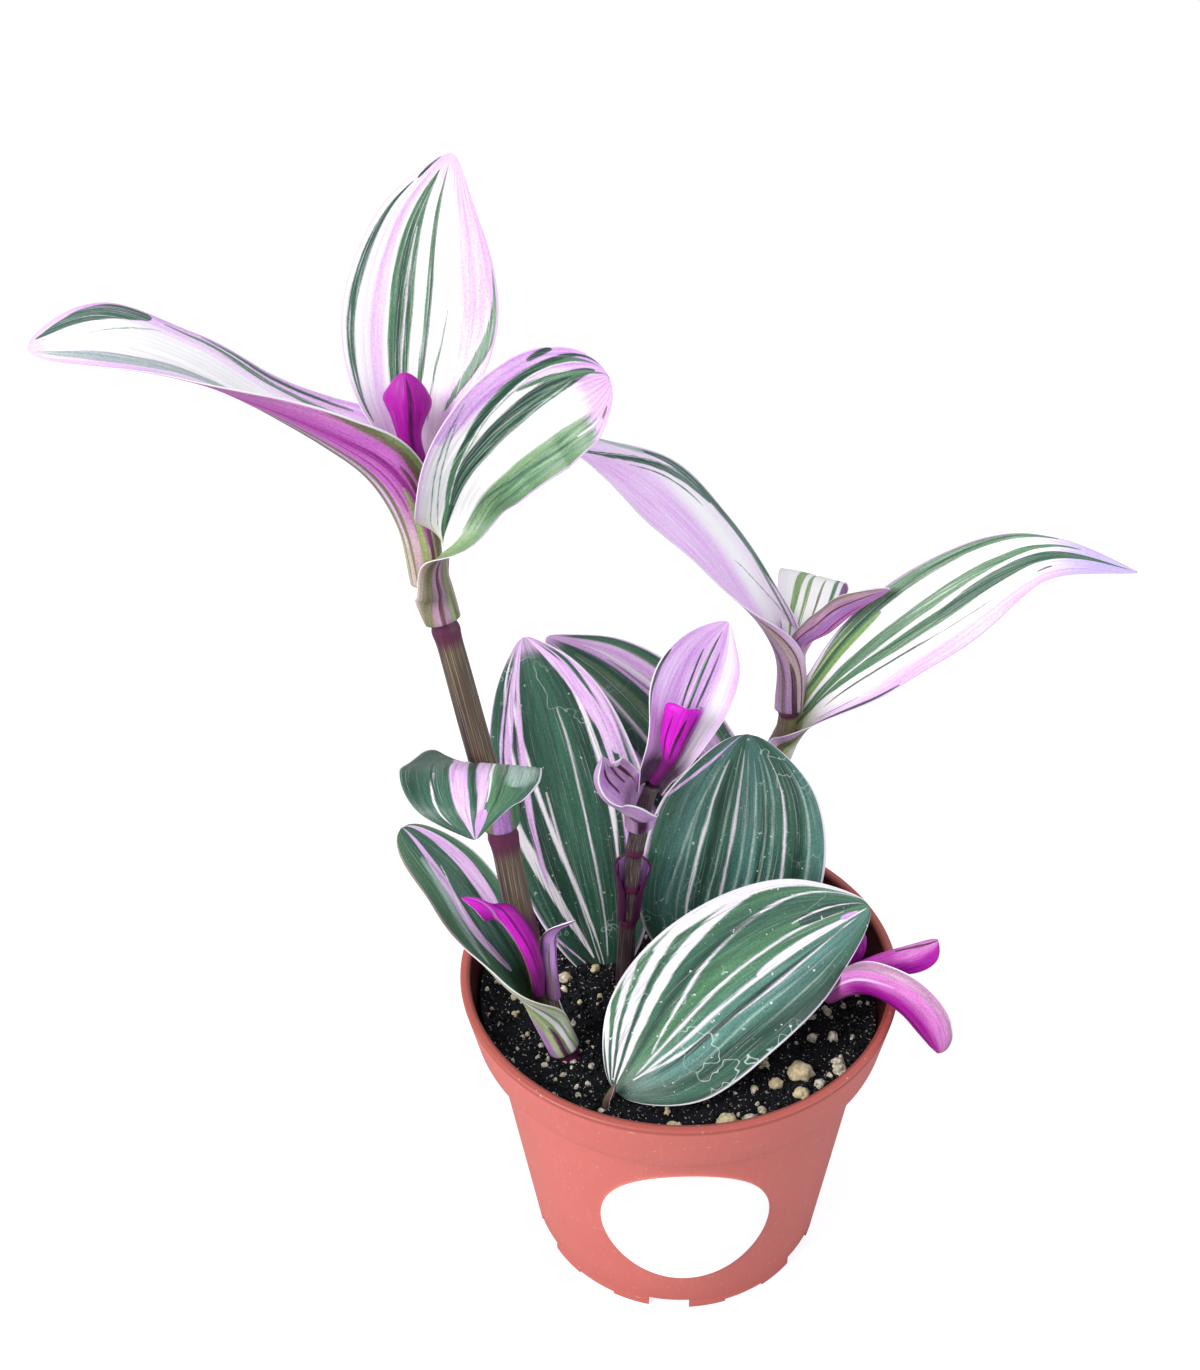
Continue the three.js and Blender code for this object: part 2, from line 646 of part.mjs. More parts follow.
// Soil from the pot's floor up, with a crumbed top
function soilGeometry() {
  const wall = INNER_WALL.slice(0, 3).map(([r, z]) => [r - GAP, z + GAP]);
  const topRadius = COLLAR_BOTTOM_RADIUS - WALL - GAP;
  const corner = (radius, k, height) => {
    const angle = (k / POT_SIDES) * Math.PI * 2;
    const x = radius * Math.sin(angle);
    const y = -radius * Math.cos(angle);
    return new THREE.Vector3(x, y, height ?? soilHeight(x, y));
  };
  const loops = [...wall];
  for (let ring = SOIL_RINGS; ring >= 1; ring -= 1) {
    loops.push([(topRadius * ring) / SOIL_RINGS, undefined]);
  }
  const points = [new THREE.Vector3(0, 0, wall[0][1])];
  for (const [radius, height] of loops) {
    for (let k = 0; k < POT_SIDES; k += 1) points.push(corner(radius, k, height));
  }
  const top = points.push(new THREE.Vector3(0, 0, soilHeight(0, 0))) - 1;
  const at = (loop, k) => 1 + loop * POT_SIDES + (k % POT_SIDES);
  const triangles = [];
  for (let k = 0; k < POT_SIDES; k += 1) {
    triangles.push(0, at(0, k + 1), at(0, k));
    for (let loop = 0; loop < loops.length - 1; loop += 1) {
      triangles.push(at(loop, k), at(loop, k + 1), at(loop + 1, k + 1));
      triangles.push(at(loop, k), at(loop + 1, k + 1), at(loop + 1, k));
    }
    triangles.push(at(loops.length - 1, k), at(loops.length - 1, k + 1), top);
  }
  return meshFrom(points, triangles);
}

// One mineral grain, sunk by half into the soil
function grainBody(x, y, size, random) {
  const grain = new THREE.IcosahedronGeometry(size, 0);
  grain.scale(1, 0.7 + 0.5 * random(), 0.6 + 0.3 * random());
  grain.rotateX(random() * Math.PI).rotateZ(random() * Math.PI);
  return solid(grain.translate(x, y, soilHeight(x, y) + size * 0.2));
}

function soilBody(holes) {
  const random = randomFrom(GRAIN_SEED);
  const reach = BODY_TOP_RADIUS - WALL - GRAIN_SIZES[1];
  let soil = solid(soilGeometry());
  for (const [x, y, size] of BIG_GRAINS) {
    soil = soil.add(grainBody(x, y, size, random));
  }
  for (let k = 0; k < GRAIN_COUNT; k += 1) {
    const radius = reach * Math.sqrt(random());
    const angle = random() * Math.PI * 2;
    const size = GRAIN_SIZES[0] + (GRAIN_SIZES[1] - GRAIN_SIZES[0]) * random() ** 2;
    soil = soil.add(grainBody(radius * Math.sin(angle), -radius * Math.cos(angle), size, random));
  }
  for (const hole of holes) {
    soil = soil.subtract(hole);
  }
  return mainBody(soil);
}

// Does a body come closer to a placed piece than the least gap
function tooClose(body, other) {
  const a = body.boundingBox();
  const b = other.room.boundingBox();
  const boxesMeet = [0, 1, 2].every((k) => a.min[k] <= b.max[k] && b.min[k] <= a.max[k]);
  return boxesMeet && body.minGap(other.body, GAP) < LEAST_GAP;
}

const MATERIALS = {
  pot: { color: 0xd87868, roughness: 0.45 },
  label: { color: 0xf2f2f0, roughness: 0.6 },
  soil: { color: 0x1d1817, roughness: 0.95 },
  stem: { color: 0x6a5544, roughness: 0.5 },
  pinkLeaf: { color: 0xd9a6d8, roughness: 0.4 },
  greenLeaf: { color: 0x4d7a66, roughness: 0.4 },
  magentaLeaf: { color: 0xb0289c, roughness: 0.4 },
  driedLeaf: { color: 0x6b4a3c, roughness: 0.8 },
};

const GREEN_LEAVES = ['leaf_c1', 'leaf_c2', 'leaf_c3', 'leaf_c4', 'leaf_a4', 'leaf_a5'];
const MAGENTA_LEAVES = ['bud_a', 'bud_c', 'leaf_b4', 'shoot_e1', 'shoot_e2', 'sheath_c', 'leaf_d1', 'leaf_d2', 'leaf_d3'];

function leafMaterial(name) {
  if (name === 'bract') return 'driedLeaf';
  if (GREEN_LEAVES.includes(name)) return 'greenLeaf';
  return MAGENTA_LEAVES.includes(name) ? 'magentaLeaf' : 'pinkLeaf';
}

const plant = new THREE.Group();

function addPiece(name, body, material) {
  const finish = new THREE.MeshStandardMaterial({ ...MATERIALS[material], metalness: 0 });
  const mesh = new THREE.Mesh(geometryOf(body), finish);
  mesh.name = name;
  plant.add(mesh);
}

addPiece('pot', potBody(), 'pot');
addPiece('label', labelBody(), 'label');

// Pieces placed so far: the solid itself, and its room with the clear space round it
const placed = [];
for (const [name, rows] of Object.entries(STEMS)) {
  const body = solid(stemGeometry(rows));
  addPiece(name, body, 'stem');
  placed.push({ body, room: solid(stemGeometry(rows, GAP)) });
}
for (const [name, leaf] of Object.entries(LEAVES)) {
  let body = solid(leafGeometry(leaf));
  for (const other of placed) {
    if (tooClose(body, other)) {
      body = mainBody(body.subtract(other.room));
    }
  }
  addPiece(name, body, leafMaterial(name));
  placed.push({ body, room: solid(leafGeometry(leaf, GAP)) });
}
addPiece('soil', soilBody(placed.map((piece) => piece.room)), 'soil');

export default plant;
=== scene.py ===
# %% [markdown]
# # A potted tradescantia
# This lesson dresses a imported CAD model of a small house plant: striped pink, white
# and green leaves on four shoots, in a plain plastic nursery pot. The CAD model
# settles every place and size. Here each of its pieces gets a finer mesh of the same
# form, and a finish made only of nodes.

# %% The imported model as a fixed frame
import math

import bmesh
import bpy
import numpy as np
from mathutils import Matrix, Vector, noise


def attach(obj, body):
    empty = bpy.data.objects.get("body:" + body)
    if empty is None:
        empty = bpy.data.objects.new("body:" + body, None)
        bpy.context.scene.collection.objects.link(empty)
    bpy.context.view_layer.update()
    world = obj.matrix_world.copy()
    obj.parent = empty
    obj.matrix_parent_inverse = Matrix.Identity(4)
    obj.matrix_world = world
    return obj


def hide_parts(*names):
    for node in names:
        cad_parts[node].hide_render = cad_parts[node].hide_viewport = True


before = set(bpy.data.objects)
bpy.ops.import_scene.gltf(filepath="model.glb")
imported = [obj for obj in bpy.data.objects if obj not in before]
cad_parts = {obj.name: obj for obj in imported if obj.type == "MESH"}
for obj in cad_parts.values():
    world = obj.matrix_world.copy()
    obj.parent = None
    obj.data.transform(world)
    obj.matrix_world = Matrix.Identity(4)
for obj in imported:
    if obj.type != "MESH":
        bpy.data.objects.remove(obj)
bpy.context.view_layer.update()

MM = 0.001

# %% [markdown]
# ## Camera
# The photograph looks down at the plant from in front and above. The camera was
# worked out from the ellipses of the pot's rim and foot, so it is written here as a
# place, a pitch, a small roll and a focal length in pixels of the photograph. Making
# it first means that every later piece can be judged through it.

# %% Camera at the photograph's place
CAMERA_PLACE = (-0.017, -0.2505, 0.3175)
PITCH = math.radians(32.1)
ROLL = math.radians(-1.5)
FOCAL_PIXELS = 1400
LONG_SIDE_PIXELS = 1370
SENSOR = 36


def placed(name, data):
    """New object in the scene with this data."""
    thing = bpy.data.objects.new(name, data)
    bpy.context.scene.collection.objects.link(thing)
    return thing


level_right = Vector((1, 0, 0))
level_up = Vector((0, math.sin(PITCH), math.cos(PITCH)))
towards_camera = Vector((0, -math.cos(PITCH), math.sin(PITCH)))
camera_right = level_right * math.cos(ROLL) + level_up * math.sin(ROLL)
camera_up = level_up * math.cos(ROLL) - level_right * math.sin(ROLL)

camera_data = bpy.data.cameras.new("camera")
camera_data.sensor_width = SENSOR
camera_data.lens = SENSOR * FOCAL_PIXELS / LONG_SIDE_PIXELS
camera = placed("camera", camera_data)
axes = Matrix((camera_right, camera_up, towards_camera)).transposed()
camera.matrix_world = Matrix.Translation(CAMERA_PLACE) @ axes.to_4x4()
bpy.context.scene.camera = camera
print("lens", round(camera_data.lens, 2), "mm")

# %% [markdown]
# ## Finishes are node trees
# Every finish below is a tree of shader nodes on a Principled shader. A few short
# helpers keep the trees readable: one makes a material, one adds a node with its
# inputs, and the others wrap the nodes that come up most often. Colours are written
# as the usual six digits and turned into the linear values that Blender works in.

# %% Helpers for node trees
def rgb(code):
    """Linear colour from six digits such as 'd87868'."""
    channels = [int(code[k:k + 2], 16) / 255 for k in (0, 2, 4)]
    linear = [c / 12.92 if c <= 0.04045 else ((c + 0.055) / 1.055) ** 2.4 for c in channels]
    return (*linear, 1)


def new_finish(name, roughness, inputs=()):
    """A material, its node tree and its Principled shader, with some inputs set."""
    finish = bpy.data.materials.new(name)
    finish.use_nodes = True
    shader = finish.node_tree.nodes["Principled BSDF"]
    for key, value in {"Roughness": roughness, **dict(inputs)}.items():
        shader.inputs[key].default_value = value
    return finish, finish.node_tree, shader


def add(tree, kind, inputs=(), **settings):
    """A node of a kind, with its settings, and its inputs linked or set."""
    node = tree.nodes.new(kind)
    for key, value in settings.items():
        setattr(node, key, value)
    for key, value in dict(inputs).items():
        if isinstance(value, bpy.types.NodeSocket):
            tree.links.new(value, node.inputs[key])
        else:
            node.inputs[key].default_value = value
    return node


def maths(tree, operation, *values):
    """One step of arithmetic on sockets and numbers."""
    return add(tree, "ShaderNodeMath", dict(enumerate(values)), operation=operation).outputs[0]


def blend(tree, share, first, second, how="MIX"):
    """Second colour over the first, by a share from 0 to 1."""
    inputs = {0: share, 6: first, 7: second}
    return add(tree, "ShaderNodeMix", inputs, data_type="RGBA", blend_type=how).outputs[2]


def ramp(tree, place, stops, ease="EASE"):
    """Colour ramp through (place, colour) stops."""
    node = add(tree, "ShaderNodeValToRGB", {0: place})
    node.color_ramp.interpolation = ease
    while len(node.color_ramp.elements) < len(stops):
        node.color_ramp.elements.new(0.5)
    for element, (where, shade) in zip(node.color_ramp.elements, stops):
        element.position = where
        element.color = rgb(shade) if isinstance(shade, str) else (shade, shade, shade, 1)
    return node.outputs[0]


def over(tree, colour, pattern, stops, shade):
    """A shade laid over a colour as strongly as a pattern's ramp says."""
    return blend(tree, ramp(tree, pattern, stops), colour, rgb(shade))


def grain(tree, place, scale, detail=4, roughness=0.55):
    """Soft noise from 0 to 1 at a place."""
    inputs = {"Vector": place, "Scale": scale, "Detail": detail, "Roughness": roughness}
    return add(tree, "ShaderNodeTexNoise", inputs).outputs[0]


def stretched(tree, place, scale):
    """A place with its axes stretched, so that a pattern on it turns streaky."""
    return add(tree, "ShaderNodeMapping", {0: place, 3: scale}).outputs[0]


def bump(tree, shader, height, strength, distance, under=None):
    """Bump on the shader's normal, over an earlier bump if there is one."""
    inputs = {"Height": height, "Strength": strength, "Distance": distance}
    if under is not None:
        inputs["Normal"] = under
    normal = add(tree, "ShaderNodeBump", inputs).outputs[0]
    tree.links.new(normal, shader.inputs["Normal"])
    return normal


def object_place(tree):
    """Place on the object, in metres."""
    return add(tree, "ShaderNodeTexCoord").outputs["Object"]

# %% [markdown]
# ## Floor and light
# The plant stands on a white surface in high, even light, with only a faint shadow.
# A large pale floor runs out to a white world, and two broad soft lamps shape the
# object: the main one high on the left, and a weak one on the right. The Standard
# view keeps the white clean and the magenta as strong as it is.

# %% Floor, world and lamps
FLOOR_SIZE = 6
FLOOR_GLOW = 0.8
WORLD_LIGHT, WORLD_SEEN = 0.7, 1
LAMP_SIZE = 0.6
LAMP_TARGET = Vector((0, 0, 0.12))


def seen_strength(tree, shed, seen):
    """One strength for the light that is shed, and another for what the camera sees."""
    ray = add(tree, "ShaderNodeLightPath").outputs["Is Camera Ray"]
    return add(tree, "ShaderNodeMapRange", {"Value": ray, "To Min": shed, "To Max": seen}).outputs[0]


def soft_lamp(name, place, watts, tint):
    """Square area lamp that faces the plant."""
    data = bpy.data.lights.new(name, "AREA")
    data.size = LAMP_SIZE
    data.energy = watts
    data.color = tint
    lamp = placed(name, data)
    lamp.location = place
    lamp.rotation_mode = "QUATERNION"
    lamp.rotation_quaternion = (Vector(place) - LAMP_TARGET).to_track_quat("Z", "Y")


half = FLOOR_SIZE / 2
corners = [(-half, -half, 0), (half, -half, 0), (half, half, 0), (-half, half, 0)]
floor_mesh = bpy.data.meshes.new("floor")
floor_mesh.from_pydata(corners, [], [(0, 1, 2, 3)])
floor = placed("floor", floor_mesh)
floor_finish, tree, shader = new_finish("white_floor", 0.9, {
    "Base Color": (0.35, 0.35, 0.36, 1), "Specular IOR Level": 0.1, "Emission Color": (0.97, 0.98, 1, 1),
})
tree.links.new(seen_strength(tree, 0, FLOOR_GLOW), shader.inputs["Emission Strength"])
floor_mesh.materials.append(floor_finish)

world = bpy.data.worlds.new("white_studio")
world.use_nodes = True
sky = world.node_tree.nodes["Background"]
sky.inputs[0].default_value = (1, 1, 1, 1)
world.node_tree.links.new(seen_strength(world.node_tree, WORLD_LIGHT, WORLD_SEEN), sky.inputs[1])
bpy.context.scene.world = world
bpy.context.scene.view_settings.view_transform = "Standard"

soft_lamp("main_lamp", (-0.8, -0.55, 0.75), 13, (1, 0.98, 0.97))
soft_lamp("right_lamp", (0.8, -0.3, 0.5), 2.6, (0.82, 0.89, 1))

# %% [markdown]
# ## Helpers for meshes
# A piece's object always sits at the origin, and its place is in its mesh, as with
# the CAD nodes. So each piece is made from lists of points in metres. One helper
# joins rings of points with faces, and one hands a finished piece over to the frame:
# it rides on the only body, and stands for its CAD node.

# %% Helpers for meshes
def new_piece(name, points, faces, finishes, finish_of_face=None):
    """Object at the origin, made of points in metres, with smooth faces."""
    mesh = bpy.data.meshes.new(name)
    mesh.from_pydata([tuple(p) for p in points], [], [tuple(map(int, f)) for f in faces])
    for finish in finishes:
        mesh.materials.append(finish)
    if finish_of_face is not None:
        mesh.polygons.foreach_set("material_index", np.array(finish_of_face, np.int32))
    mesh.shade_smooth()
    return placed(name, mesh)


def shell_faces(rings, sides):
    """Faces of a closed shell: rings of points between a first and a last point."""
    at = lambda ring, k: 1 + ring * sides + k % sides
    last = 1 + rings * sides
    faces = []
    for k in range(sides):
        faces.append((0, at(0, k + 1), at(0, k)))
        for ring in range(rings - 1):
            faces.append((at(ring, k), at(ring, k + 1), at(ring + 1, k + 1), at(ring + 1, k)))
        faces.append((at(rings - 1, k), at(rings - 1, k + 1), last))
    return faces


def disc_point(ring, k, sides):
    """Number of a point on a disc: its middle is ring 0, with rings of points round it."""
    return 0 if ring == 0 else 1 + (ring - 1) * sides + k % sides


def on_circle(radius, angle):
    """Place on a circle about the pot's axis, with angles from the front to the right."""
    return radius * math.sin(angle), -radius * math.cos(angle)


def hand_over(piece, slot, node=None):
    """The piece rides on the plant's one body and stands for its CAD node."""
    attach(piece, "root")
    if node:
        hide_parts(node)
    print(f"{piece.name}: {len(piece.data.polygons)} faces, slot {slot}")


def apply_modifiers(piece):
    """Turns a piece's modifiers into plain mesh."""
    graph = bpy.context.evaluated_depsgraph_get()
    made = bpy.data.meshes.new_from_object(piece.evaluated_get(graph))
    piece.modifiers.clear()
    old = piece.data
    piece.data = made
    bpy.data.meshes.remove(old)

# %% [markdown]
# ## Pot
# The pot is a thin injection-moulded nursery pot: a taper with a deeper collar at the
# rim, and a low foot ring with drain notches. It is a turned shape, so its profile is
# rounded in code and spun about the axis, and the notches are then cut with a Boolean.
# The profile repeats the CAD model's sizes, with the small radii that catch the light.

# %% Profile of the pot
POT_HEIGHT, RIM_RADIUS, RIM_WIDTH = 82.1, 52.5, 2.5
COLLAR_HEIGHT, COLLAR_BOTTOM_RADIUS = 14.2, 49.8
BODY_TOP_RADIUS, BODY_BOTTOM_RADIUS = 46.2, 37.9
FOOT_HEIGHT, FOOT_RADIUS, FOOT_WALL = 3.6, 37.5, 2.2
WALL, LEDGE, FLOOR_RAISE, FLOOR_THICKNESS = 1.4, 1.0, 1.2, 1.6
LIP_DEPTH = 2.2
BODY_TOP = POT_HEIGHT - COLLAR_HEIGHT
LEDGE_TOP = BODY_TOP + LEDGE
FLOOR_TOP = FLOOR_RAISE + FLOOR_THICKNESS
BODY_TAPER = (BODY_TOP_RADIUS - BODY_BOTTOM_RADIUS) / (BODY_TOP - FOOT_HEIGHT)


def rounded(corners, steps=5, longest=0.45):
    """Profile with each (radius, height, rounding) corner turned into a small arc.

    A rounding takes up no more than the longest share of a side.
    """
    points = []
    for k, (x, y, rounding) in enumerate(corners):
        here = Vector((x, y))
        if rounding == 0 or k in (0, len(corners) - 1):
            points.append((x, y))
            continue
        before = Vector(corners[k - 1][:2]) - here
        after = Vector(corners[k + 1][:2]) - here
        first = here + before.normalized() * min(rounding, before.length * longest)
        last = here + after.normalized() * min(rounding, after.length * longest)
        for step in range(steps + 1):
            t = step / steps
            place = first * (1 - t) ** 2 + here * 2 * t * (1 - t) + last * t ** 2
            points.append(tuple(place))
    return points


def between(first, last, count):
    """Extra corners along a straight wall, so that its faces stay short."""
    shares = [k / count for k in range(1, count)]
    return [(first[0] * (1 - t) + last[0] * t, first[1] * (1 - t) + last[1] * t, 0) for t in shares]


foot_top, body_top = (BODY_BOTTOM_RADIUS, FOOT_HEIGHT), (BODY_TOP_RADIUS, BODY_TOP)
pot_profile = rounded([
    (0, FLOOR_RAISE, 0),
    (FOOT_RADIUS - FOOT_WALL, FLOOR_RAISE, 0.3),
    (FOOT_RADIUS - FOOT_WALL, 0, 0.4),
    (FOOT_RADIUS, 0, 0.4),
    (FOOT_RADIUS, FOOT_HEIGHT, 0.25),
    (*foot_top, 0.35),
    *between(foot_top, body_top, 8),
    (*body_top, 0.4),
    (COLLAR_BOTTOM_RADIUS, BODY_TOP, 1.3),
    *between((COLLAR_BOTTOM_RADIUS, BODY_TOP), (RIM_RADIUS, POT_HEIGHT), 3),
    (RIM_RADIUS, POT_HEIGHT, 0.9),
    (RIM_RADIUS - RIM_WIDTH, POT_HEIGHT, 0.9),
    (RIM_RADIUS - RIM_WIDTH, POT_HEIGHT - LIP_DEPTH, 0.5),
    (COLLAR_BOTTOM_RADIUS - WALL, LEDGE_TOP, 1.0),
    (BODY_TOP_RADIUS - WALL, LEDGE_TOP, 0.6),
    *between((BODY_TOP_RADIUS - WALL, LEDGE_TOP), (BODY_BOTTOM_RADIUS - WALL, FLOOR_TOP), 6),
    (BODY_BOTTOM_RADIUS - WALL, FLOOR_TOP, 1.2),
    (0, FLOOR_TOP, 0),
])
print("pot profile:", len(pot_profile), "points")

# %% Pot turned from its profile
POT_SIDES = 216


def turned(name, profile, sides, finishes):
    """Closed shape turned about the Z axis from a profile that starts and ends on it."""
    angles = np.arange(sides) / sides * 2 * math.pi
    points = [(0, 0, profile[0][1] * MM)]
    for r, z in profile[1:-1]:
        points.extend(zip(r * MM * np.sin(angles), -r * MM * np.cos(angles), np.full(sides, z * MM)))
    points.append((0, 0, profile[-1][1] * MM))
    return new_piece(name, points, shell_faces(len(profile) - 2, sides), finishes)


# %% [markdown]
# The plastic is a satin terracotta colour. Mould flow and handling leave it slightly
# uneven, so the finish has slow colour drift, fine dust, and thin bright scuffs. It
# darkens at the foot and on the rim's lip, by height, as painted shade. The inner wall
# has its own darker finish, which is painted shade for the inside of the pot.

# %% Plastic finishes
LIP_PAINTED_SHADE, DUST_SHADE, SCUFF_SHADE = "9c4a40", "f3dcd6", "f6e4e0"


def plastic(name, shade, darker, paler, dusty):
    """Satin plastic with drift, dust and scuffs, and painted shade at the foot and on the lip."""
    finish, tree, shader = new_finish(name, 0.4, {
        "Subsurface Weight": 0.08, "Subsurface Radius": (1, 0.35, 0.2), "Subsurface Scale": 0.003,
    })
    place = object_place(tree)
    drift = grain(tree, place, 18, 3)
    colour = blend(tree, drift, rgb(shade), rgb(darker))
    streak = grain(tree, stretched(tree, place, (60, 60, 9)), 12, 5, 0.7)
    colour = over(tree, colour, streak, [(0.5, 0.0), (0.75, 0.3)], paler)
    height = add(tree, "ShaderNodeSeparateXYZ", {0: place}).outputs[2]
    tall = maths(tree, "MULTIPLY", height, 1000 / POT_HEIGHT)
    # Painted shade: darker towards the foot, and on the rim's lip.
    colour = over(tree, colour, tall, [(0.0, 0.5), (0.18, 0.0)], darker)
    colour = over(tree, colour, tall, [(0.98, 0.0), (0.993, 0.8)], LIP_PAINTED_SHADE)
    dust = grain(tree, place, 1100, 3, 0.6)
    colour = over(tree, colour, dust, [(0.67, 0.0), (0.73, dusty)], DUST_SHADE)
    scuffs = grain(tree, stretched(tree, place, (30, 30, 240)), 9, 2, 0.5)
    colour = over(tree, colour, scuffs, [(0.72, 0.0), (0.76, dusty)], SCUFF_SHADE)
    tree.links.new(colour, shader.inputs["Base Color"])
    satin = ramp(tree, streak, [(0.2, 0.34), (0.8, 0.5)])
    tree.links.new(satin, shader.inputs["Roughness"])
    pimples = bump(tree, shader, grain(tree, place, 900, 3), 0.15, 0.0002)
    bump(tree, shader, streak, 0.12, 0.0003, pimples)
    return finish


pot_plastic = plastic("pot_plastic", "e67d74", "cf675f", "f0988f", 0.5)
# The dark finish of the inner wall is painted shade.
pot_inside = plastic("pot_plastic_painted_shade", "4a1518", "2a0d12", "6a2a28", 0.2)

# %% Drain notches cut through the foot ring
FOOT_PATTERN, FOOT_PATTERN_START = 6, -6
# Width, depth and height of the notches, and of the shallow reliefs between them
NOTCH, RELIEF = (10, 9, 3.3), (10.6, 2.4, 1)
SMOOTH_BELOW = math.radians(35)
# Inner faces above the floor and inside the rim take the finish of painted shade.
SHADED_FROM, SHADED_RADIUS, FACES_UP = FLOOR_TOP - 0.2, RIM_RADIUS - 1.3, 0.9

pot = turned("pot_shell", pot_profile, POT_SIDES, [pot_plastic, pot_inside])


def foot_cutters():
    """One mesh with the twelve blocks that cut the foot ring."""
    made = bmesh.new()
    for k in range(FOOT_PATTERN):
        for (width, depth, height), shift in ((NOTCH, 0), (RELIEF, 0.5)):
            turn = math.radians(FOOT_PATTERN_START + 360 / FOOT_PATTERN * (k + shift))
            block = Matrix.Rotation(turn, 4, "Z") @ Matrix.Translation((0, -FOOT_RADIUS * MM, 0))
            size = Matrix.Diagonal((width * MM, depth * MM, height * 2 * MM, 1))
            bmesh.ops.create_cube(made, size=1, matrix=block @ size)
    mesh = bpy.data.meshes.new("foot_cutters")
    made.to_mesh(mesh)
    made.free()
    return placed("foot_cutters", mesh)


cutters = foot_cutters()
cut = pot.modifiers.new("notches", "BOOLEAN")
cut.operation = "DIFFERENCE"
cut.solver = "EXACT"
cut.object = cutters
apply_modifiers(pot)
bpy.data.objects.remove(cutters)
pot.data.set_sharp_from_angle(angle=SMOOTH_BELOW)
for face in pot.data.polygons:
    middle = face.center
    inward = face.normal.x * middle.x + face.normal.y * middle.y < 0 or face.normal.z > FACES_UP
    deep = middle.xy.length < SHADED_RADIUS * MM and middle.z > SHADED_FROM * MM
    face.material_index = 1 if inward and deep else 0
hand_over(pot, "pot_plastic", "pot")

# %% [markdown]
# ## Label
# A round paper sticker lies on the front of the pot. Its print isn't copied, so it is
# a bare sheet: a thin disc bent to the taper, with a fine paper grain and an edge
# that has thickness. It is built in rings, so that its outline stays round.

# %% Round bare label
LABEL = {"width": 40.7, "height": 44.2, "middle": 37.1, "angle": -0.008}
LABEL_BACK, LABEL_FRONT = 0.06, 0.41
LABEL_RINGS, LABEL_SIDES = 24, 128


def label_point(share, turn, lift):
    """Point over the pot's wall, at a share of the label's radius."""
    across = LABEL["width"] / 2 * share * math.cos(turn)
    height = LABEL["middle"] + LABEL["height"] / 2 * share * math.sin(turn) * math.cos(BODY_TAPER)
    radius = BODY_BOTTOM_RADIUS + (height - FOOT_HEIGHT) * BODY_TAPER + lift
    x, y = on_circle(radius, LABEL["angle"] + across / (radius - lift))
    return (x * MM, y * MM, height * MM)


def label_mesh(finish):
    """Thin bent disc: a back, a front, and an edge between them."""
    shares = [k / LABEL_RINGS for k in range(1, LABEL_RINGS + 1)]
    turns = [k / LABEL_SIDES * 2 * math.pi for k in range(LABEL_SIDES)]
    points, faces = [], []
    for lift in (LABEL_BACK, LABEL_FRONT):
        points.append(label_point(0, 0, lift))
        points.extend(label_point(s, t, lift) for s in shares for t in turns)
    back = len(points) // 2
    at = lambda ring, k: disc_point(ring, k, LABEL_SIDES)
    for k in range(LABEL_SIDES):
        for ring in range(LABEL_RINGS):
            quad = [at(ring, k), at(ring + 1, k), at(ring + 1, k + 1), at(ring, k + 1)]
            quad = quad[:3] if ring == 0 else quad
            faces.append([back + p for p in quad])
            faces.append(quad[::-1])
        p, q = at(LABEL_RINGS, k), at(LABEL_RINGS, k + 1)
        faces.append((p, q, back + q, back + p))
    return new_piece("round_label", points, faces, [finish])


# The paper glows a little: painted light that keeps it bright white.
paper, tree, shader = new_finish("label_paper", 0.55, {
    "Emission Color": (1, 1, 1, 1), "Emission Strength": 0.3,
})
place = object_place(tree)
mottle = grain(tree, place, 900, 4, 0.7)
tree.links.new(blend(tree, mottle, rgb("fbfdfb"), rgb("f1f5f2")), shader.inputs["Base Color"])
bump(tree, shader, mottle, 0.1, 0.0001)
label = label_mesh(paper)
label.data.set_sharp_from_angle(angle=math.radians(50))
hand_over(label, "label_paper", "label")

# %% [markdown]
# ## Soil
# Dark peat soil fills the pot to a finger's width below the rim, with pale mineral
# grains in it. The filling is one closed solid with a crumbed top. Its height follows
# the same rule as the CAD model's, with finer noise over it. The loose crumbs and the
# mineral grains repeat, so Geometry Nodes scatter them over the top.

# %% Soil filling with a crumbed top
SOIL_LEVEL, SOIL_SLOPE, SOIL_ROUGHNESS = 72, -0.042, 0.7
CLEARANCE = 0.35
SOIL_RADIUS = COLLAR_BOTTOM_RADIUS - WALL - CLEARANCE
SOIL_RINGS, SOIL_SIDES = 90, 240


def soil_height(x, y):
    """Height of the soil in millimetres: the CAD model's slope and waves."""
    coarse = math.sin(x * 0.31 + 1.3) * math.cos(y * 0.27 - 0.4)
    fine = math.sin(x * 0.83 - y * 0.61) * 0.6
    return SOIL_LEVEL + SOIL_SLOPE * x + SOIL_ROUGHNESS * (coarse + fine) * 0.6


def crumbed_height(x, y):
    """Soil height with clods and crumbs of noise over it."""
    clods = noise.fractal(Vector((x * 0.16, y * 0.16, 4)), 0.9, 2.1, 3)
    crumbs = noise.fractal(Vector((x * 0.75, y * 0.75, 9)), 0.6, 2.2, 4)
    return soil_height(x, y) + 0.5 * clods + 0.55 * crumbs


soil_finish, tree, shader = new_finish("potting_soil", 0.95, {"Specular IOR Level": 0.25})
place = object_place(tree)
lumps = grain(tree, place, 260, 6, 0.7)
colour = ramp(tree, lumps, [(0.3, "05070b"), (0.55, "0f1218"), (0.8, "20222a")])
specks = grain(tree, place, 1500, 2, 0.5)
colour = over(tree, colour, specks, [(0.64, 0.0), (0.69, 0.9)], "b9b4a6")
tree.links.new(colour, shader.inputs["Base Color"])
bump(tree, shader, lumps, 0.9, 0.0012)

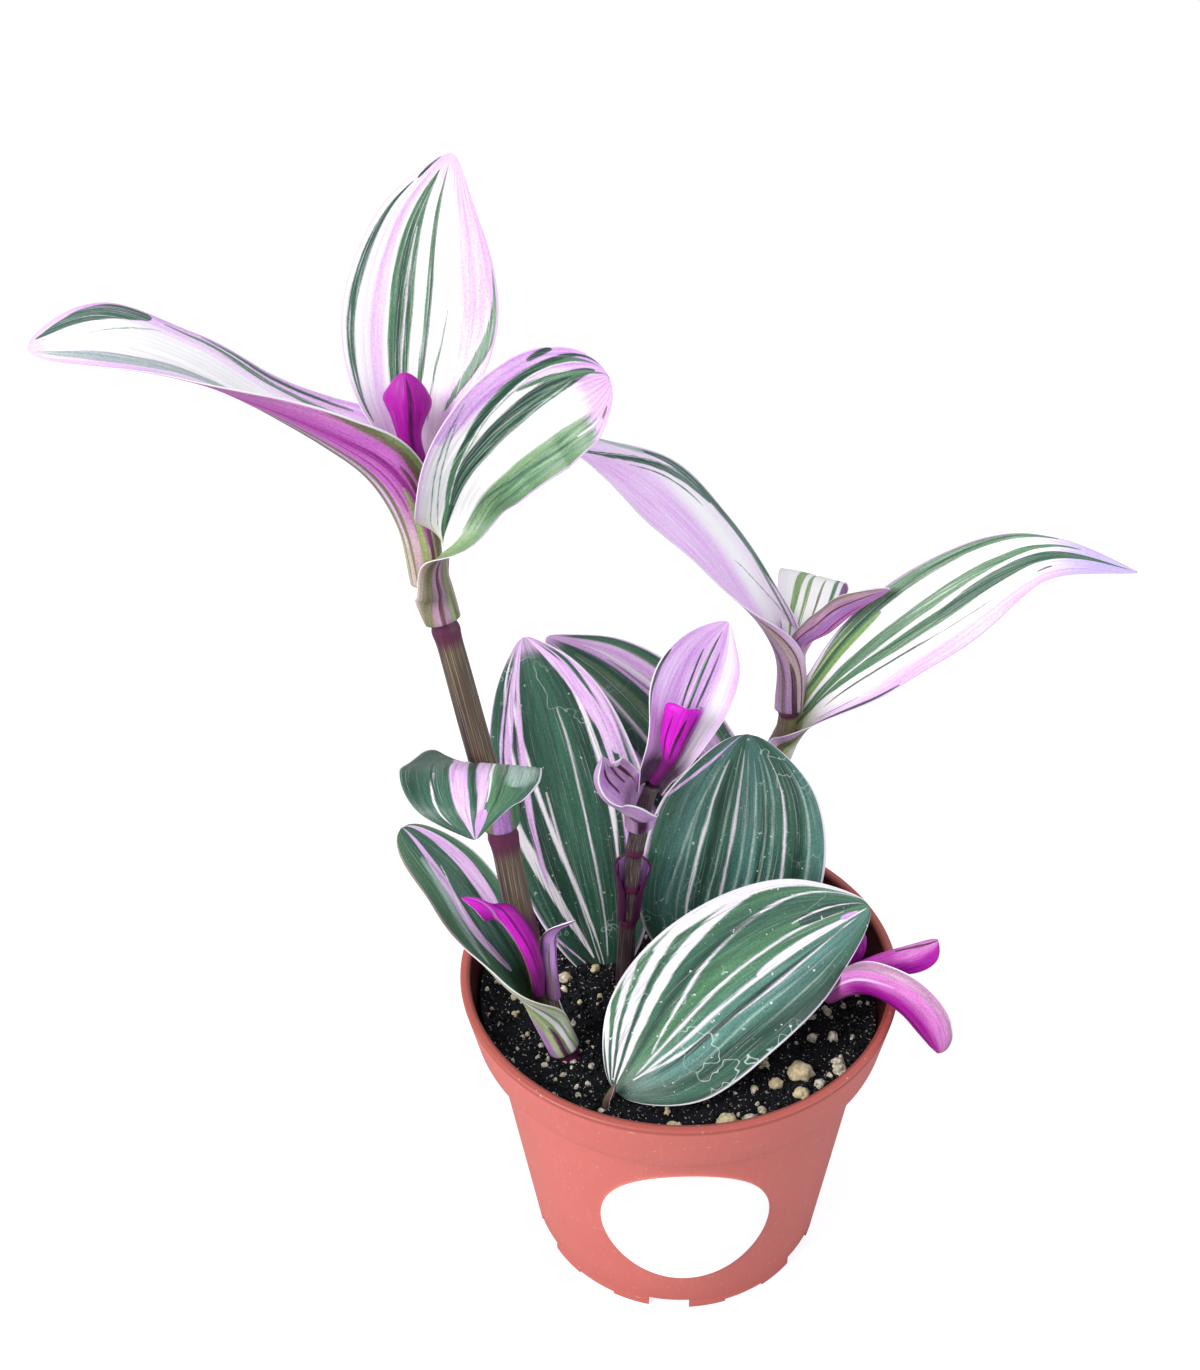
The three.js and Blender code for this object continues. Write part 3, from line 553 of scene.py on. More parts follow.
loops = [
    (BODY_BOTTOM_RADIUS - WALL - CLEARANCE, FLOOR_TOP + CLEARANCE),
    (BODY_TOP_RADIUS - WALL - CLEARANCE, LEDGE_TOP + CLEARANCE),
    (SOIL_RADIUS, LEDGE_TOP + CLEARANCE),
]
angles = [k / SOIL_SIDES * 2 * math.pi for k in range(SOIL_SIDES)]
points = [(0, 0, loops[0][1])]
for radius, height in loops:
    points.extend((*on_circle(radius, angle), height) for angle in angles)
for ring in range(SOIL_RINGS, 0, -1):
    for angle in angles:
        x, y = on_circle(SOIL_RADIUS * ring / SOIL_RINGS, angle)
        points.append((x, y, crumbed_height(x, y)))
points.append((0, 0, crumbed_height(0, 0)))
faces = shell_faces(SOIL_RINGS + len(loops), SOIL_SIDES)
soil = new_piece("soil_filling", np.array(points) * MM, faces, [soil_finish])
hand_over(soil, "potting_soil", "soil")

# %% [markdown]
# The scatter is one node tree with named inputs. It spreads points over a surface,
# puts a small rough stone on each, turns and sizes it at random from a fixed seed,
# and ends in real mesh with a material. It is used three times: for many dark crumbs,
# for fewer pale grains, and for a few pebbles.

# %% Geometry Nodes: scattered grains
FULL_TURN = (6.28, 6.28, 6.28)
WOBBLE_SCALE = 900.0


def scatter_tree():
    """Node tree that scatters rough grains over the mesh it is given."""
    tree = bpy.data.node_groups.new("scattered_grains", "GeometryNodeTree")
    socket = tree.interface.new_socket
    socket("Surface", in_out="INPUT", socket_type="NodeSocketGeometry")
    sizes = {"Density": 1000.0, "Smallest": 0.0004, "Largest": 0.001, "Roughness": 0.3}
    for name, value in sizes.items():
        socket(name, in_out="INPUT", socket_type="NodeSocketFloat").default_value = value
    for name in ("Detail", "Seed"):
        socket(name, in_out="INPUT", socket_type="NodeSocketInt").default_value = 1
    socket("Finish", in_out="INPUT", socket_type="NodeSocketMaterial")
    socket("Grains", in_out="OUTPUT", socket_type="NodeSocketGeometry")
    given = add(tree, "NodeGroupInput").outputs
    spread = add(tree, "GeometryNodeDistributePointsOnFaces", {
        "Mesh": given["Surface"], "Density": given["Density"], "Seed": given["Seed"],
    })
    stone = add(tree, "GeometryNodeMeshIcoSphere", {"Radius": 1.0, "Subdivisions": given["Detail"]})
    size = add(tree, "FunctionNodeRandomValue", {
        0: given["Smallest"], 1: given["Largest"], "Seed": given["Seed"],
    }, data_type="FLOAT_VECTOR")
    turn = add(tree, "FunctionNodeRandomValue", {
        0: (0, 0, 0), 1: FULL_TURN, "Seed": given["Seed"],
    }, data_type="FLOAT_VECTOR")
    put = add(tree, "GeometryNodeInstanceOnPoints", {
        "Points": spread.outputs["Points"], "Instance": stone.outputs["Mesh"],
        "Rotation": turn.outputs[0], "Scale": size.outputs[0],
    })
    real = add(tree, "GeometryNodeRealizeInstances", {0: put.outputs[0]})
    here = add(tree, "GeometryNodeInputPosition").outputs[0]
    wobble = add(tree, "ShaderNodeTexNoise", {"Vector": here, "Scale": WOBBLE_SCALE, "Detail": 1.0})
    centred = add(tree, "ShaderNodeVectorMath", {
        0: wobble.outputs["Color"], 1: (0.5, 0.5, 0.5),
    }, operation="SUBTRACT").outputs[0]
    reach = maths(tree, "MULTIPLY", given["Roughness"], given["Largest"])
    scaled = add(tree, "ShaderNodeVectorMath", {0: centred, "Scale": reach}, operation="SCALE").outputs[0]
    rough = add(tree, "GeometryNodeSetPosition", {"Geometry": real.outputs[0], "Offset": scaled}).outputs[0]
    dressed = add(tree, "GeometryNodeSetMaterial", {"Geometry": rough, "Material": given["Finish"]})
    out = add(tree, "NodeGroupOutput")
    tree.links.new(dressed.outputs[0], out.inputs[0])
    return tree


def grown(name, surface, tree, values):
    """Plain mesh piece that a node tree makes from a surface."""
    piece = placed(name, surface.data.copy())
    made = piece.modifiers.new("grow", "NODES")
    made.node_group = tree
    for socket in tree.interface.items_tree:
        if socket.in_out == "INPUT" and socket.name in values:
            made[socket.identifier] = values[socket.name]
    apply_modifiers(piece)
    return piece


# %% Top of the soil, crumbs and pale mineral grains
TOP_RINGS, TOP_SIDES = 40, 90
TOP_INSET, TOP_LIFT = 1.5, 0.1


def top_of_soil():
    """Sheet that follows the soil's top, clear of the pot's wall."""
    points = [(0, 0, soil_height(0, 0) * MM)]
    for ring in range(1, TOP_RINGS + 1):
        radius = (SOIL_RADIUS - TOP_INSET) * ring / TOP_RINGS
        for k in range(TOP_SIDES):
            x, y = on_circle(radius, k / TOP_SIDES * 2 * math.pi)
            points.append((x * MM, y * MM, (crumbed_height(x, y) + TOP_LIFT) * MM))
    at = lambda ring, k: disc_point(ring, k, TOP_SIDES)
    faces = []
    for k in range(TOP_SIDES):
        faces.append((0, at(1, k), at(1, k + 1)))
        for ring in range(1, TOP_RINGS):
            faces.append((at(ring, k), at(ring + 1, k), at(ring + 1, k + 1), at(ring, k + 1)))
    return new_piece("soil_top", points, faces, [])


def mineral(name, pale, middle, dark):
    """Porous mineral finish."""
    finish, tree, shader = new_finish(name, 0.85)
    place = object_place(tree)
    pores = grain(tree, place, 1100, 4, 0.65)
    colour = ramp(tree, pores, [(0.3, dark), (0.5, middle), (0.62, pale)])
    island = grain(tree, place, 90, 1)
    colour = over(tree, colour, island, [(0.45, 0.0), (0.6, 0.6)], "c9b57e")
    tree.links.new(colour, shader.inputs["Base Color"])
    bump(tree, shader, pores, 0.5, 0.0004)
    return finish


grain_finish = mineral("mineral_grains", "e9e6da", "bdb6a4", "5e564c")
scatter = scatter_tree()
sheet = top_of_soil()
INPUTS = ("Density", "Smallest", "Largest", "Roughness", "Detail", "Seed", "Finish")
SCATTERED = {
    "soil_crumbs": (260000.0, 0.0003, 0.0009, 0.5, 1, 3, soil_finish),
    "soil_grains": (42000.0, 0.00025, 0.0009, 0.6, 2, 8, grain_finish),
    "soil_pebbles": (4200.0, 0.0007, 0.0016, 0.5, 2, 21, grain_finish),
}
for name, values in SCATTERED.items():
    hand_over(grown(name, sheet, scatter, dict(zip(INPUTS, values))), "potting_soil")

# %% The largest grains, where the photograph shows them
# Each is (x, y, size) in millimetres.
BIG_GRAINS = [
    (8.5, -41.5, 2.3), (13.5, -41, 1.9), (26.5, -27.5, 2.8), (35.5, -26.5, 1.8), (20.5, -30, 1.6),
    (26, -33, 1.8), (30.5, -30.5, 1.4), (35.5, -24, 1.5), (-27.5, 3.5, 1.7), (-31, -10, 1.4),
]
STONE_SHAPE = Vector((1, 0.85, 0.75))
STONE_SINK = 0.3


def big_grain_mesh():
    """Rough rounded stones, each pushed about by noise."""
    made = bmesh.new()
    for k, (x, y, size) in enumerate(BIG_GRAINS):
        stone = bmesh.ops.create_icosphere(made, subdivisions=3, radius=size * MM)["verts"]
        shift = Vector((x, y, soil_height(x, y) + size * STONE_SINK)) * MM
        for vertex in stone:
            away = vertex.co.normalized()
            bulge = 1 + 0.35 * noise.noise(away * 1.7 + Vector((k, 0, 0))) + 0.12 * noise.noise(away * 6)
            vertex.co = away * STONE_SHAPE * size * MM * bulge + shift
    mesh = bpy.data.meshes.new("big_grains")
    made.to_mesh(mesh)
    made.free()
    mesh.materials.append(grain_finish)
    mesh.shade_smooth()
    return mesh


big_grains = placed("big_grains", big_grain_mesh())
hand_over(big_grains, "potting_soil")
bpy.data.objects.remove(sheet)

# %% [markdown]
# ## Curves through rows of values
# Stems and leaves are lofts: each is a short list of stations, and each station is a
# row of numbers such as a place and a width. A Catmull-Rom curve runs through the rows
# and gives as many rows between them as the mesh needs. The same rows made the CAD
# solids, so these finer meshes keep their form.

# %% Smooth rows between stations
TINY_STEP = 0.001


def rows_at(rows, t):
    """Rows at each t, from 0 to 1, on a smooth curve through all the stations."""
    rows = np.array(rows, float)
    held = np.vstack((2 * rows[0] - rows[1], rows, 2 * rows[-1] - rows[-2]))
    place = np.clip(t, 0, 1) * (len(rows) - 1)
    start = np.minimum(place.astype(int), len(rows) - 2)
    f = (place - start)[:, None]
    a, b, c, d = (held[start + k] for k in range(4))
    bend = (2 * a - 5 * b + 4 * c - d) * f ** 2
    twist = (3 * b - a - 3 * c + d) * f ** 3
    return 0.5 * (2 * b + (c - a) * f + bend + twist)


def unit(vectors):
    """Vectors at unit length."""
    return vectors / np.linalg.norm(vectors, axis=-1, keepdims=True)


def travel_at(rows, t):
    """Direction of travel along the rows at each t."""
    return unit(rows_at(rows, t + TINY_STEP)[:, :3] - rows_at(rows, t - TINY_STEP)[:, :3])


def flattened(vectors, normal):
    """Vectors with the part along a unit normal taken out, at unit length."""
    return unit(vectors - (vectors * normal).sum(-1, keepdims=True) * normal)


def tube(points_grid, name, finishes, uv_name):
    """Closed piece from a grid of points: rings along the first axis, capped at both ends."""
    steps, sides = points_grid.shape[:2]
    points = list(points_grid.reshape(-1, 3))
    points.extend((points_grid[0].mean(0), points_grid[-1].mean(0)))
    faces, uvs = [], []
    for i in range(steps - 1):
        for k in range(sides):
            n = (k + 1) % sides
            faces.append((i * sides + k, i * sides + n, (i + 1) * sides + n, (i + 1) * sides + k))
            low, high = i / (steps - 1), (i + 1) / (steps - 1)
            uvs.extend((low, k / sides, low, (k + 1) / sides, high, (k + 1) / sides, high, k / sides))
    for k in range(sides):
        n = (k + 1) % sides
        faces.append((len(points) - 2, n, k))
        uvs.extend((0, 0) * 3)
        last = (steps - 1) * sides
        faces.append((len(points) - 1, last + k, last + n))
        uvs.extend((1, 0) * 3)
    piece = new_piece(name, points, faces, finishes)
    piece.data.uv_layers.new(name=uv_name).uv.foreach_set("vector", np.array(uvs, np.float32))
    return piece

# %% [markdown]
# ## Stems
# A tradescantia stem is fleshy and jointed. At each joint a leaf's sheath clasps it,
# and a purple ring marks the skin. Each stem is one tube that swells at its joints.
# The finish is streaked along the stem: olive on one side and purple-brown on the
# other, the stem's own colours laid out as painted light and shade from one side.

# %% Stem stations
# Each station is (x, y, z, radius) in millimetres.
STEMS = {
    "stem_a": [
        (-22.5, -22.5, 62, 3.2), (-29, -20, 79.5, 2.5), (-32, -19, 93, 2.5), (-36, -17, 113.5, 3.0),
        (-38.5, -15, 133, 3.0), (-43.3, -12, 159, 2.8), (-47.4, -9, 180.5, 2.6), (-50.2, -7, 190, 2.3),
        (-51.6, -6.2, 196.5, 2.0), (-50.4, -6.8, 204, 1.5),
    ],
    "stem_b": [
        (10.5, 22, 62, 3.2), (16, 26, 90.5, 2.9), (21, 28, 108, 2.8), (26, 29, 122, 2.2),
        (28, 30, 132.5, 2.2), (28, 31, 141, 1.8),
    ],
    "stem_c": [
        (-13.5, 1, 62, 2.4), (-12, 4, 88, 2.1), (-11, 4, 100.5, 1.9), (-10, 4, 112.5, 2.0),
        (-8, 3.5, 124, 1.9), (-6, 3, 131.5, 1.6),
    ],
    "stem_d": [
        (28, 1.5, 62, 1.8), (29.5, -5, 72, 1.6), (34.5, -10, 79, 1.3), (38, -10.5, 82, 1.1),
        (41.5, -8, 85.3, 0.9),
    ],
}

# Place along each stem, from 0 to 1, of its joints
JOINTS = {
    "stem_a": (0.06, 0.31, 0.445, 0.665, 0.86),
    "stem_b": (0.3, 0.57, 0.8),
    "stem_c": (0.24, 0.42, 0.6, 0.8),
    "stem_d": (0.45, 0.75),
}

# %% Finish of the stems
UV = "Along"
# Turn round each stem that its painted lit side faces.
LIT_SIDE_TURN = 2.7
FIBRE_SHADE, JOINT_SHADE = "a89c86", "571740"


def along_and_across(tree):
    """A piece's own map, and its two axes: along it, and across or round it."""
    place = add(tree, "ShaderNodeUVMap", uv_map=UV).outputs[0]
    axes = add(tree, "ShaderNodeSeparateXYZ", {0: place})
    return place, axes.outputs[0], axes.outputs[1]


def stem_finish(name, joints, lit_colour, shaded, foot):
    """Streaked skin, painted lit on one side and shaded on the other, with a purple ring at each joint."""
    finish, tree, shader = new_finish(name, 0.42, {"Subsurface Weight": 0.06, "Subsurface Scale": 0.002})
    place, along, around_it = along_and_across(tree)
    turn = maths(tree, "MULTIPLY", around_it, 2 * math.pi)
    drift = grain(tree, stretched(tree, object_place(tree), (60, 60, 16)), 3, 3)
    # Painted light and shade: the lit colour on one side, the shaded colour on the other.
    side = maths(tree, "COSINE", maths(tree, "SUBTRACT", turn, LIT_SIDE_TURN))
    share = maths(tree, "ADD", maths(tree, "MULTIPLY", side, 0.5), drift)
    colour = over(tree, rgb(shaded), share, [(0.35, 0.0), (0.75, 1.0)], lit_colour)
    fibre = grain(tree, stretched(tree, place, (9, 70, 1)), 1, 4, 0.6)
    colour = over(tree, colour, fibre, [(0.5, 0.0), (0.62, 0.55)], FIBRE_SHADE)
    colour = over(tree, colour, fibre, [(0.3, 0.5), (0.42, 0.0)], foot)
    colour = over(tree, colour, along, [(0.0, 0.9), (0.22, 0.0)], foot)
    for joint in joints:
        away = maths(tree, "ABSOLUTE", maths(tree, "SUBTRACT", along, joint))
        near = maths(tree, "MULTIPLY", away, 10)
        colour = over(tree, colour, near, [(0.0, 1.0), (0.1, 0.85), (0.3, 0.0)], JOINT_SHADE)
    tree.links.new(colour, shader.inputs["Base Color"])
    bump(tree, shader, fibre, 0.25, 0.0003)
    return finish


# %% Stem tubes that swell at their joints
STEM_SIDES = 40
SWELL, SWELL_LENGTH = 0.13, 0.012
GROOVE, GROOVE_LENGTH, GROOVE_SHIFT = 0.12, 0.0035, 0.004
RIDGES, RIDGE_HEIGHT = 9, 0.02


def stem_piece(name, rows, joints, finish, steps=180):
    """Tube along the stem's stations that swells at its joints."""
    t = np.linspace(0, 1, steps)
    rows_here = rows_at(rows, t)
    travel = travel_at(rows, t)
    across = unit(np.cross(travel, (0, 1, 0)))
    other = np.cross(travel, across)
    swell = sum(np.exp(-((t - joint) / SWELL_LENGTH) ** 2) for joint in joints)
    groove = sum(np.exp(-((t - joint - GROOVE_SHIFT) / GROOVE_LENGTH) ** 2) for joint in joints)
    radius = rows_here[:, 3] * (1 + SWELL * swell - GROOVE * groove)
    turn = np.arange(STEM_SIDES) / STEM_SIDES * 2 * np.pi
    reach = radius[:, None] * (1 + RIDGE_HEIGHT * np.cos(turn * RIDGES))
    ring = across[:, None] * np.cos(turn)[:, None] + other[:, None] * np.sin(turn)[:, None]
    grid = (rows_here[:, None, :3] + ring * reach[..., None]) * MM
    return tube(grid, name, [finish], UV)


# Painted lit side, painted shaded side and foot of each stem
STEM_COLOURS = {
    "stem_a": ("584a3a", "3a2a2e", "38182f"),
    "stem_b": ("8d8a62", "6a5a52", "5a2447"),
    "stem_c": ("4f4047", "35222f", "2c1226"),
    "stem_d": ("9c4f86", "6a2a5a", "3a1230"),
}
for name, rows in STEMS.items():
    finish = stem_finish(f"{name}_skin", JOINTS[name], *STEM_COLOURS[name])
    hand_over(stem_piece(f"{name}_fleshy", rows, JOINTS[name], finish), "stem_skin", name)

# %% [markdown]
# ## Leaves
# Every leaf is a thin sheet that starts as a sheath round its stem and opens into a
# blade. Its stations hold the midrib's place, the width measured round the curve, the
# angle through which the width is cupped, and the way the upper side faces. The sheet
# is computed as one grid for each side, which is quicker and cleaner than bending a
# flat mesh with modifiers, and it gives every leaf its own map: along it and across it.

# %% Leaf stations
# Each station is (x, y, z, width, cup in degrees, and the way the upper side faces).
# A leaf's tip and base say how bluntly its ends are rounded.
def around(stem, station, side, width, cup):
    """Station that wraps a stem, with its midrib on the given side of the stem."""
    rows = STEMS[stem]
    t = np.array([station / (len(rows) - 1)])
    middle, travel = rows_at(rows, t)[0, :3], travel_at(rows, t)
    out = flattened(np.array([side], float), travel)[0]
    return (*(middle + out * width / math.radians(cup)), width, cup, *-out)


LEAVES = {
    "leaf_a1": {"rows": [
        around("stem_a", 7.05, (-1, -0.25, 0), 18, 335), (-54.5, -8, 202, 21, 300, 0.95, 0.2, 0.4),
        (-58.7, -10, 213, 28, 240, 0.8, 0.25, 0.6), (-66, -12, 221, 28, 140, 0.45, 0.3, 0.9),
        (-76.5, -14, 229.5, 25, 80, 0.2, 0.2, 1), (-88, -15, 237.5, 25, 40, 0, 0, 1),
        (-100.5, -17, 242.5, 27, 25, -0.05, -0.2, 1), (-112, -19, 242.5, 16, 20, -0.1, -0.35, 1),
    ]},
    "leaf_a2": {"rows": [
        (-50.3, -4, 203.4, 13, 257, 0, -1, 0.2), (-49.8, -4, 210, 12, 240, 0, -1, 0.3),
        (-50, 2, 224.5, 25, 100, 0, -1, 0.3), (-48.3, 6, 238.5, 29.5, 45, 0.05, -1, 0.35),
        (-45.5, 10, 253, 23, 30, 0.05, -1, 0.4), (-41, 13, 265.5, 9, 20, 0.1, -1, 0.4),
    ]},
    "leaf_a3": {"tip": 12, "rows": [
        around("stem_a", 6.1, (1, -0.5, 0), 19.5, 330), around("stem_a", 6.6, (1, -0.6, 0), 15.5, 220),
        (-46, -13, 197.5, 10, 120, -0.2, 0, 0.6), (-41.5, -15, 212, 17.5, 60, 0.4, -0.6, 0.6),
        (-34.5, -16, 221, 21, 50, 0.5, -0.6, 0.6), (-26.5, -17, 227.5, 22, 45, 0.6, -0.6, 0.6),
        (-19.5, -18, 231.5, 20, 40, 0.7, -0.6, 0.6), (-14, -19, 234.5, 15, 30, 0.8, -0.6, 0.6),
    ]},
    "bud_a": {"tip": 20, "rows": [
        (-50.2, -7.9, 205.5, 5.6, 250, 0, 1, 0), (-49.8, -8, 212, 6.4, 240, 0, 1, 0),
        (-51, -8, 219.5, 8, 230, 0, 1, 0), (-51, -7, 226.5, 13, 180, 0, 1, 0),
        (-51, -5, 231.5, 4, 90, 0, 1, 0),
    ]},
    "leaf_b1": {"rows": [
        around("stem_b", 4.1, (-1, -0.1, 0), 18.5, 335), (24.5, 31, 148, 18, 270, 0.8, -0.1, 0.6),
        (17.5, 32, 162.5, 17, 120, 0.4, -0.3, 0.8), (8, 33, 178, 16.5, 20, 0.15, -0.5, 0.9),
        (-3.5, 33, 191, 16.5, -20, 0, -0.6, 0.9), (-15.5, 32, 199, 12, -20, 0, -0.4, 1),
        (-24, 31, 202.5, 7, 10, 0, -0.2, 1),
    ]},
    "leaf_b2": {"rows": [
        around("stem_b", 2.95, (1, -0.2, 0), 19, 335), around("stem_b", 3.45, (1, -0.2, 0), 16, 230),
        (35.5, 24, 139.5, 15, 100, -0.6, -0.4, 0.7), (44.5, 21, 152.5, 20, 50, -0.35, -0.75, 0.75),
        (56, 18, 165, 22, 35, -0.2, -0.7, 0.8), (69.5, 16, 176, 18, 25, 0, -0.6, 0.9),
        (81, 14, 180.5, 12, 15, 0.1, -0.55, 1), (97.5, 12, 177.5, 4, 10, 0.2, -0.5, 1),
    ]},
    "leaf_b3": {"rows": [
        (28.6, 32.4, 143.3, 4.5, 150, 0, -1, 0.3), (29.3, 32.6, 149, 6, 90, 0, -1, 0.3),
        (31.5, 38, 156.5, 13, 40, 0, -0.8, 0.6), (35, 50, 158, 16, 10, 0, -0.3, 1),
        (40.5, 62, 150, 14, -10, 0.05, 0.1, 1), (45, 68, 137.5, 5, 10, 0.1, 0.6, 1),
    ]},
    "leaf_b4": {"rows": [
        (28.8, 29.2, 143.5, 6, 300, 0, 1, 0.1), (31, 29, 151.5, 10, 280, -0.2, 0.3, 1),
        (35.5, 26, 157, 13, 250, -0.1, 0.35, 1), (40.5, 23, 164, 12, 220, 0, 0.4, 1),
        (47.5, 21, 170, 7, 160, 0, 0.4, 1),
    ]},
    "leaf_c1": {"base": 20, "rows": [
        (-17, 7, 66, 8, 70, 0, -1, 0.5), (-19, 12, 84, 26, 60, 0, -1, 0.5),
        (-23, 17, 108.5, 37, 45, 0, -1, 0.5), (-27.5, 23, 129.5, 34, 35, 0, -1, 0.5),
        (-31.5, 28, 144.5, 24, 30, 0.05, -1, 0.5), (-34.5, 32, 154, 11, 20, 0.1, -1, 0.5),
    ]},
    "leaf_c2": {"rows": [
        (20.5, 28, 66, 9, 80, -0.2, -1, 0.5), (19.5, 30, 79, 12, 60, -0.2, -1, 0.5),
        (8, 35, 103, 30, 40, -0.25, -1, 0.55), (-4.5, 39, 122.5, 34, 30, -0.3, -1, 0.6),
        (-17, 40, 138, 26, 30, -0.3, -1, 0.7), (-29.5, 37, 151, 9, 20, -0.3, -1, 0.8),
    ]},
    "leaf_c3": {"tip": 10, "base": 20, "rows": [
        (7, 8.5, 66, 10, 60, 0, -1, 0.4), (10, 9, 84.5, 38, 30, 0, -1, 0.4),
        (13.8, 12, 100.8, 44, 20, 0, -1, 0.45), (16, 16, 117.7, 38, 20, 0, -1, 0.5),
        (17.2, 20, 133.2, 20, 15, 0, -1, 0.5),
    ]},
    "leaf_c4": {"tip": 14, "base": 14, "rows": [
        (-16, -33, 73.5, 15, 60, -0.2, -0.8, 0.8), (-5.2, -27, 81.5, 32, 30, -0.15, -0.8, 0.8),
        (8.8, -18, 89.8, 36, 10, -0.1, -0.8, 0.8), (26.6, -8, 94.7, 30, 2, 0, -0.8, 0.8),
        (45, 0, 97, 11, 10, 0.1, -0.8, 0.8),
    ]},
    "leaf_a4": {"rows": [
        around("stem_a", 4.1, (0, -1, 0), 20.5, 300), (-39.5, -20, 148.5, 19, 120, 0, 0.6, 0.6),
        (-41.5, -24, 157.5, 25, 10, 0, -0.2, 1), (-42, -36, 164.5, 27, -25, 0.05, -0.6, 0.8),
        (-41.5, -45, 163.5, 21, -30, 0.1, -0.95, 0.4), (-40.5, -49, 158.5, 6, -20, 0.1, -1, 0.3),
    ]},
    "leaf_a5": {"tip": 10, "rows": [
        around("stem_a", 0.72, (-1, -0.3, 0), 20.5, 335), around("stem_a", 1.35, (-1, -0.3, 0), 20, 280),
        (-38.5, -21, 99, 20, 165, 0.55, -0.3, 0.8), (-44.5, -19, 110.5, 19.5, 115, 0.5, -0.5, 0.8),
        (-51.5, -15, 121.5, 18, 85, 0.4, -0.6, 0.8), (-60.5, -12, 133, 14, 40, 0.3, -0.7, 0.8),
    ]},
    "shoot_e1": {"rows": [
        (-32.6, -24.6, 95, 6, 300, 0.2, 1, 0.1), (-33.2, -26, 103, 8, 300, 0.4, 0.8, 0.2),
        (-35.2, -27, 112.5, 9, 260, 0.3, 0.6, -0.1), (-38.8, -27, 120.5, 8, 220, 0.2, 0.2, -0.4),
        (-43, -27, 125, 6.5, 200, 0.1, -0.2, -0.8), (-47, -27, 126, 3, 150, 0, -0.5, -1),
    ]},
    "shoot_e2": {"rows": [
        (-28.2, -23.6, 93, 7, 300, -0.7, 0.7, 0.2), (-29, -23.6, 106.5, 6, 220, -0.4, 0.6, 0.4),
        (-28, -25, 114, 4, 120, -0.2, 0.5, 0.8), (-23.5, -27, 119, 1.5, 60, 0, 0.5, 1),
    ]},
    "leaf_c6": {"rows": [
        around("stem_c", 3.6, (-1, -0.4, 0), 16, 300), around("stem_c", 4, (-1, -0.4, 0), 18, 240),
        (-13.4, 0.3, 128.4, 21, 170, 0.95, 0.1, 0.4), (-16.7, 0, 132.5, 20.5, 135, 0.8, -0.1, 0.6),
        (-18.1, 0, 137, 17, 100, 0.9, -0.25, 0.4), (-17, 1, 141, 9.5, 80, 1, -0.3, 0.1),
    ]},
    "leaf_c5": {"rows": [
        around("stem_c", 4.8, (-0.2, 1, 0), 10.5, 210), (-4.9, 4.6, 136.2, 12, 170, 0.2, -1, 0.3),
        (-2.5, 3, 142, 14, 120, 0.3, -1, 0.4), (1.5, 7, 151.5, 20, 60, 0.3, -1, 0.4),
        (6.5, 11, 160.5, 18, 40, 0.2, -1, 0.45), (11, 13, 167.5, 8, 20, 0.1, -1, 0.5),
    ]},
    "bud_c": {"tip": 40, "rows": [
        (-5.6, 1.4, 133, 5, 280, 0, 1, 0), (-2.5, -1.8, 140.5, 6, 260, 0, 1, 0),
        (-1, -1.2, 146.4, 10, 200, 0, 1, 0), (1.5, -0.4, 154, 12, 150, 0, 1, 0),
    ]},
    "sheath_c": {"tip": 20, "rows": [
        around("stem_c", 1.25, (0, 1, 0), 14, 320), around("stem_c", 1.9, (0, 1, 0), 15.5, 300),
        around("stem_c", 2.6, (0, 1, 0), 17, 190),
    ]},
    "leaf_d1": {"rows": [
        around("stem_d", 2.1, (0, -0.4, -1), 12.5, 320), (40, -15.5, 84.5, 15, 250, 0.35, 0.45, 0.8),
        (44.5, -20, 87.5, 21, 190, 0.5, 0.5, 0.7), (49, -24, 86.5, 24, 150, 0.65, 0.5, 0.5),
        (53, -26.5, 82.5, 22, 115, 0.7, 0.45, 0.4), (57, -28, 77.5, 13, 80, 0.75, 0.4, 0.3),
    ]},
    "leaf_d2": {"tip": 14, "rows": [
        around("stem_d", 3.6, (0, 0.3, 1), 11, 330), (46.5, -8, 88.7, 12.5, 290, 0.25, -0.35, -1),
        (53.5, -9, 92.2, 14.5, 215, 0.25, -0.45, -1), (59.5, -9, 94.2, 12, 150, 0.3, -0.45, -1),
    ]},
    "leaf_d3": {"rows": [
        (40.8, -6, 82.8, 7, 160, -1, 1, 0), (43.6, -3.6, 86.4, 8, 110, -1, 1, 0),
        (42.5, -1.2, 92, 2, 60, -1, 1, 0),
    ]},
    "bract": {"rows": [
        (-19, -36, 68.5, 3.5, 160, 1, -0.3, 0), (-18.3, -35.5, 73.5, 5, 150, 1, -0.3, 0),
        (-16, -34.5, 77.5, 3, 90, 1, -0.3, 0),
    ]},
}
print("leaves:", len(LEAVES))

# %% Leaf sheets
NARROWEST, FLATTEST = 0.3, 0.01
LEAF_HALF_THICKNESS, THICKNESS_AT_MARGIN = 0.3, 0.35
RIB_HEIGHT, MIDRIB_DEPTH, MIDRIB_WIDTH = 0.06, 0.3, 0.05
SHEATH_SHARE, FULL_RELIEF_WIDTH = 0.25, 12
RIBS, BLUNTNESS, WAVE = 16, 8, (0.35, 3, 0.5)
WAVE_OFFSET = 2.2
STEPS_ALONG, STEPS_ACROSS = 110, 56


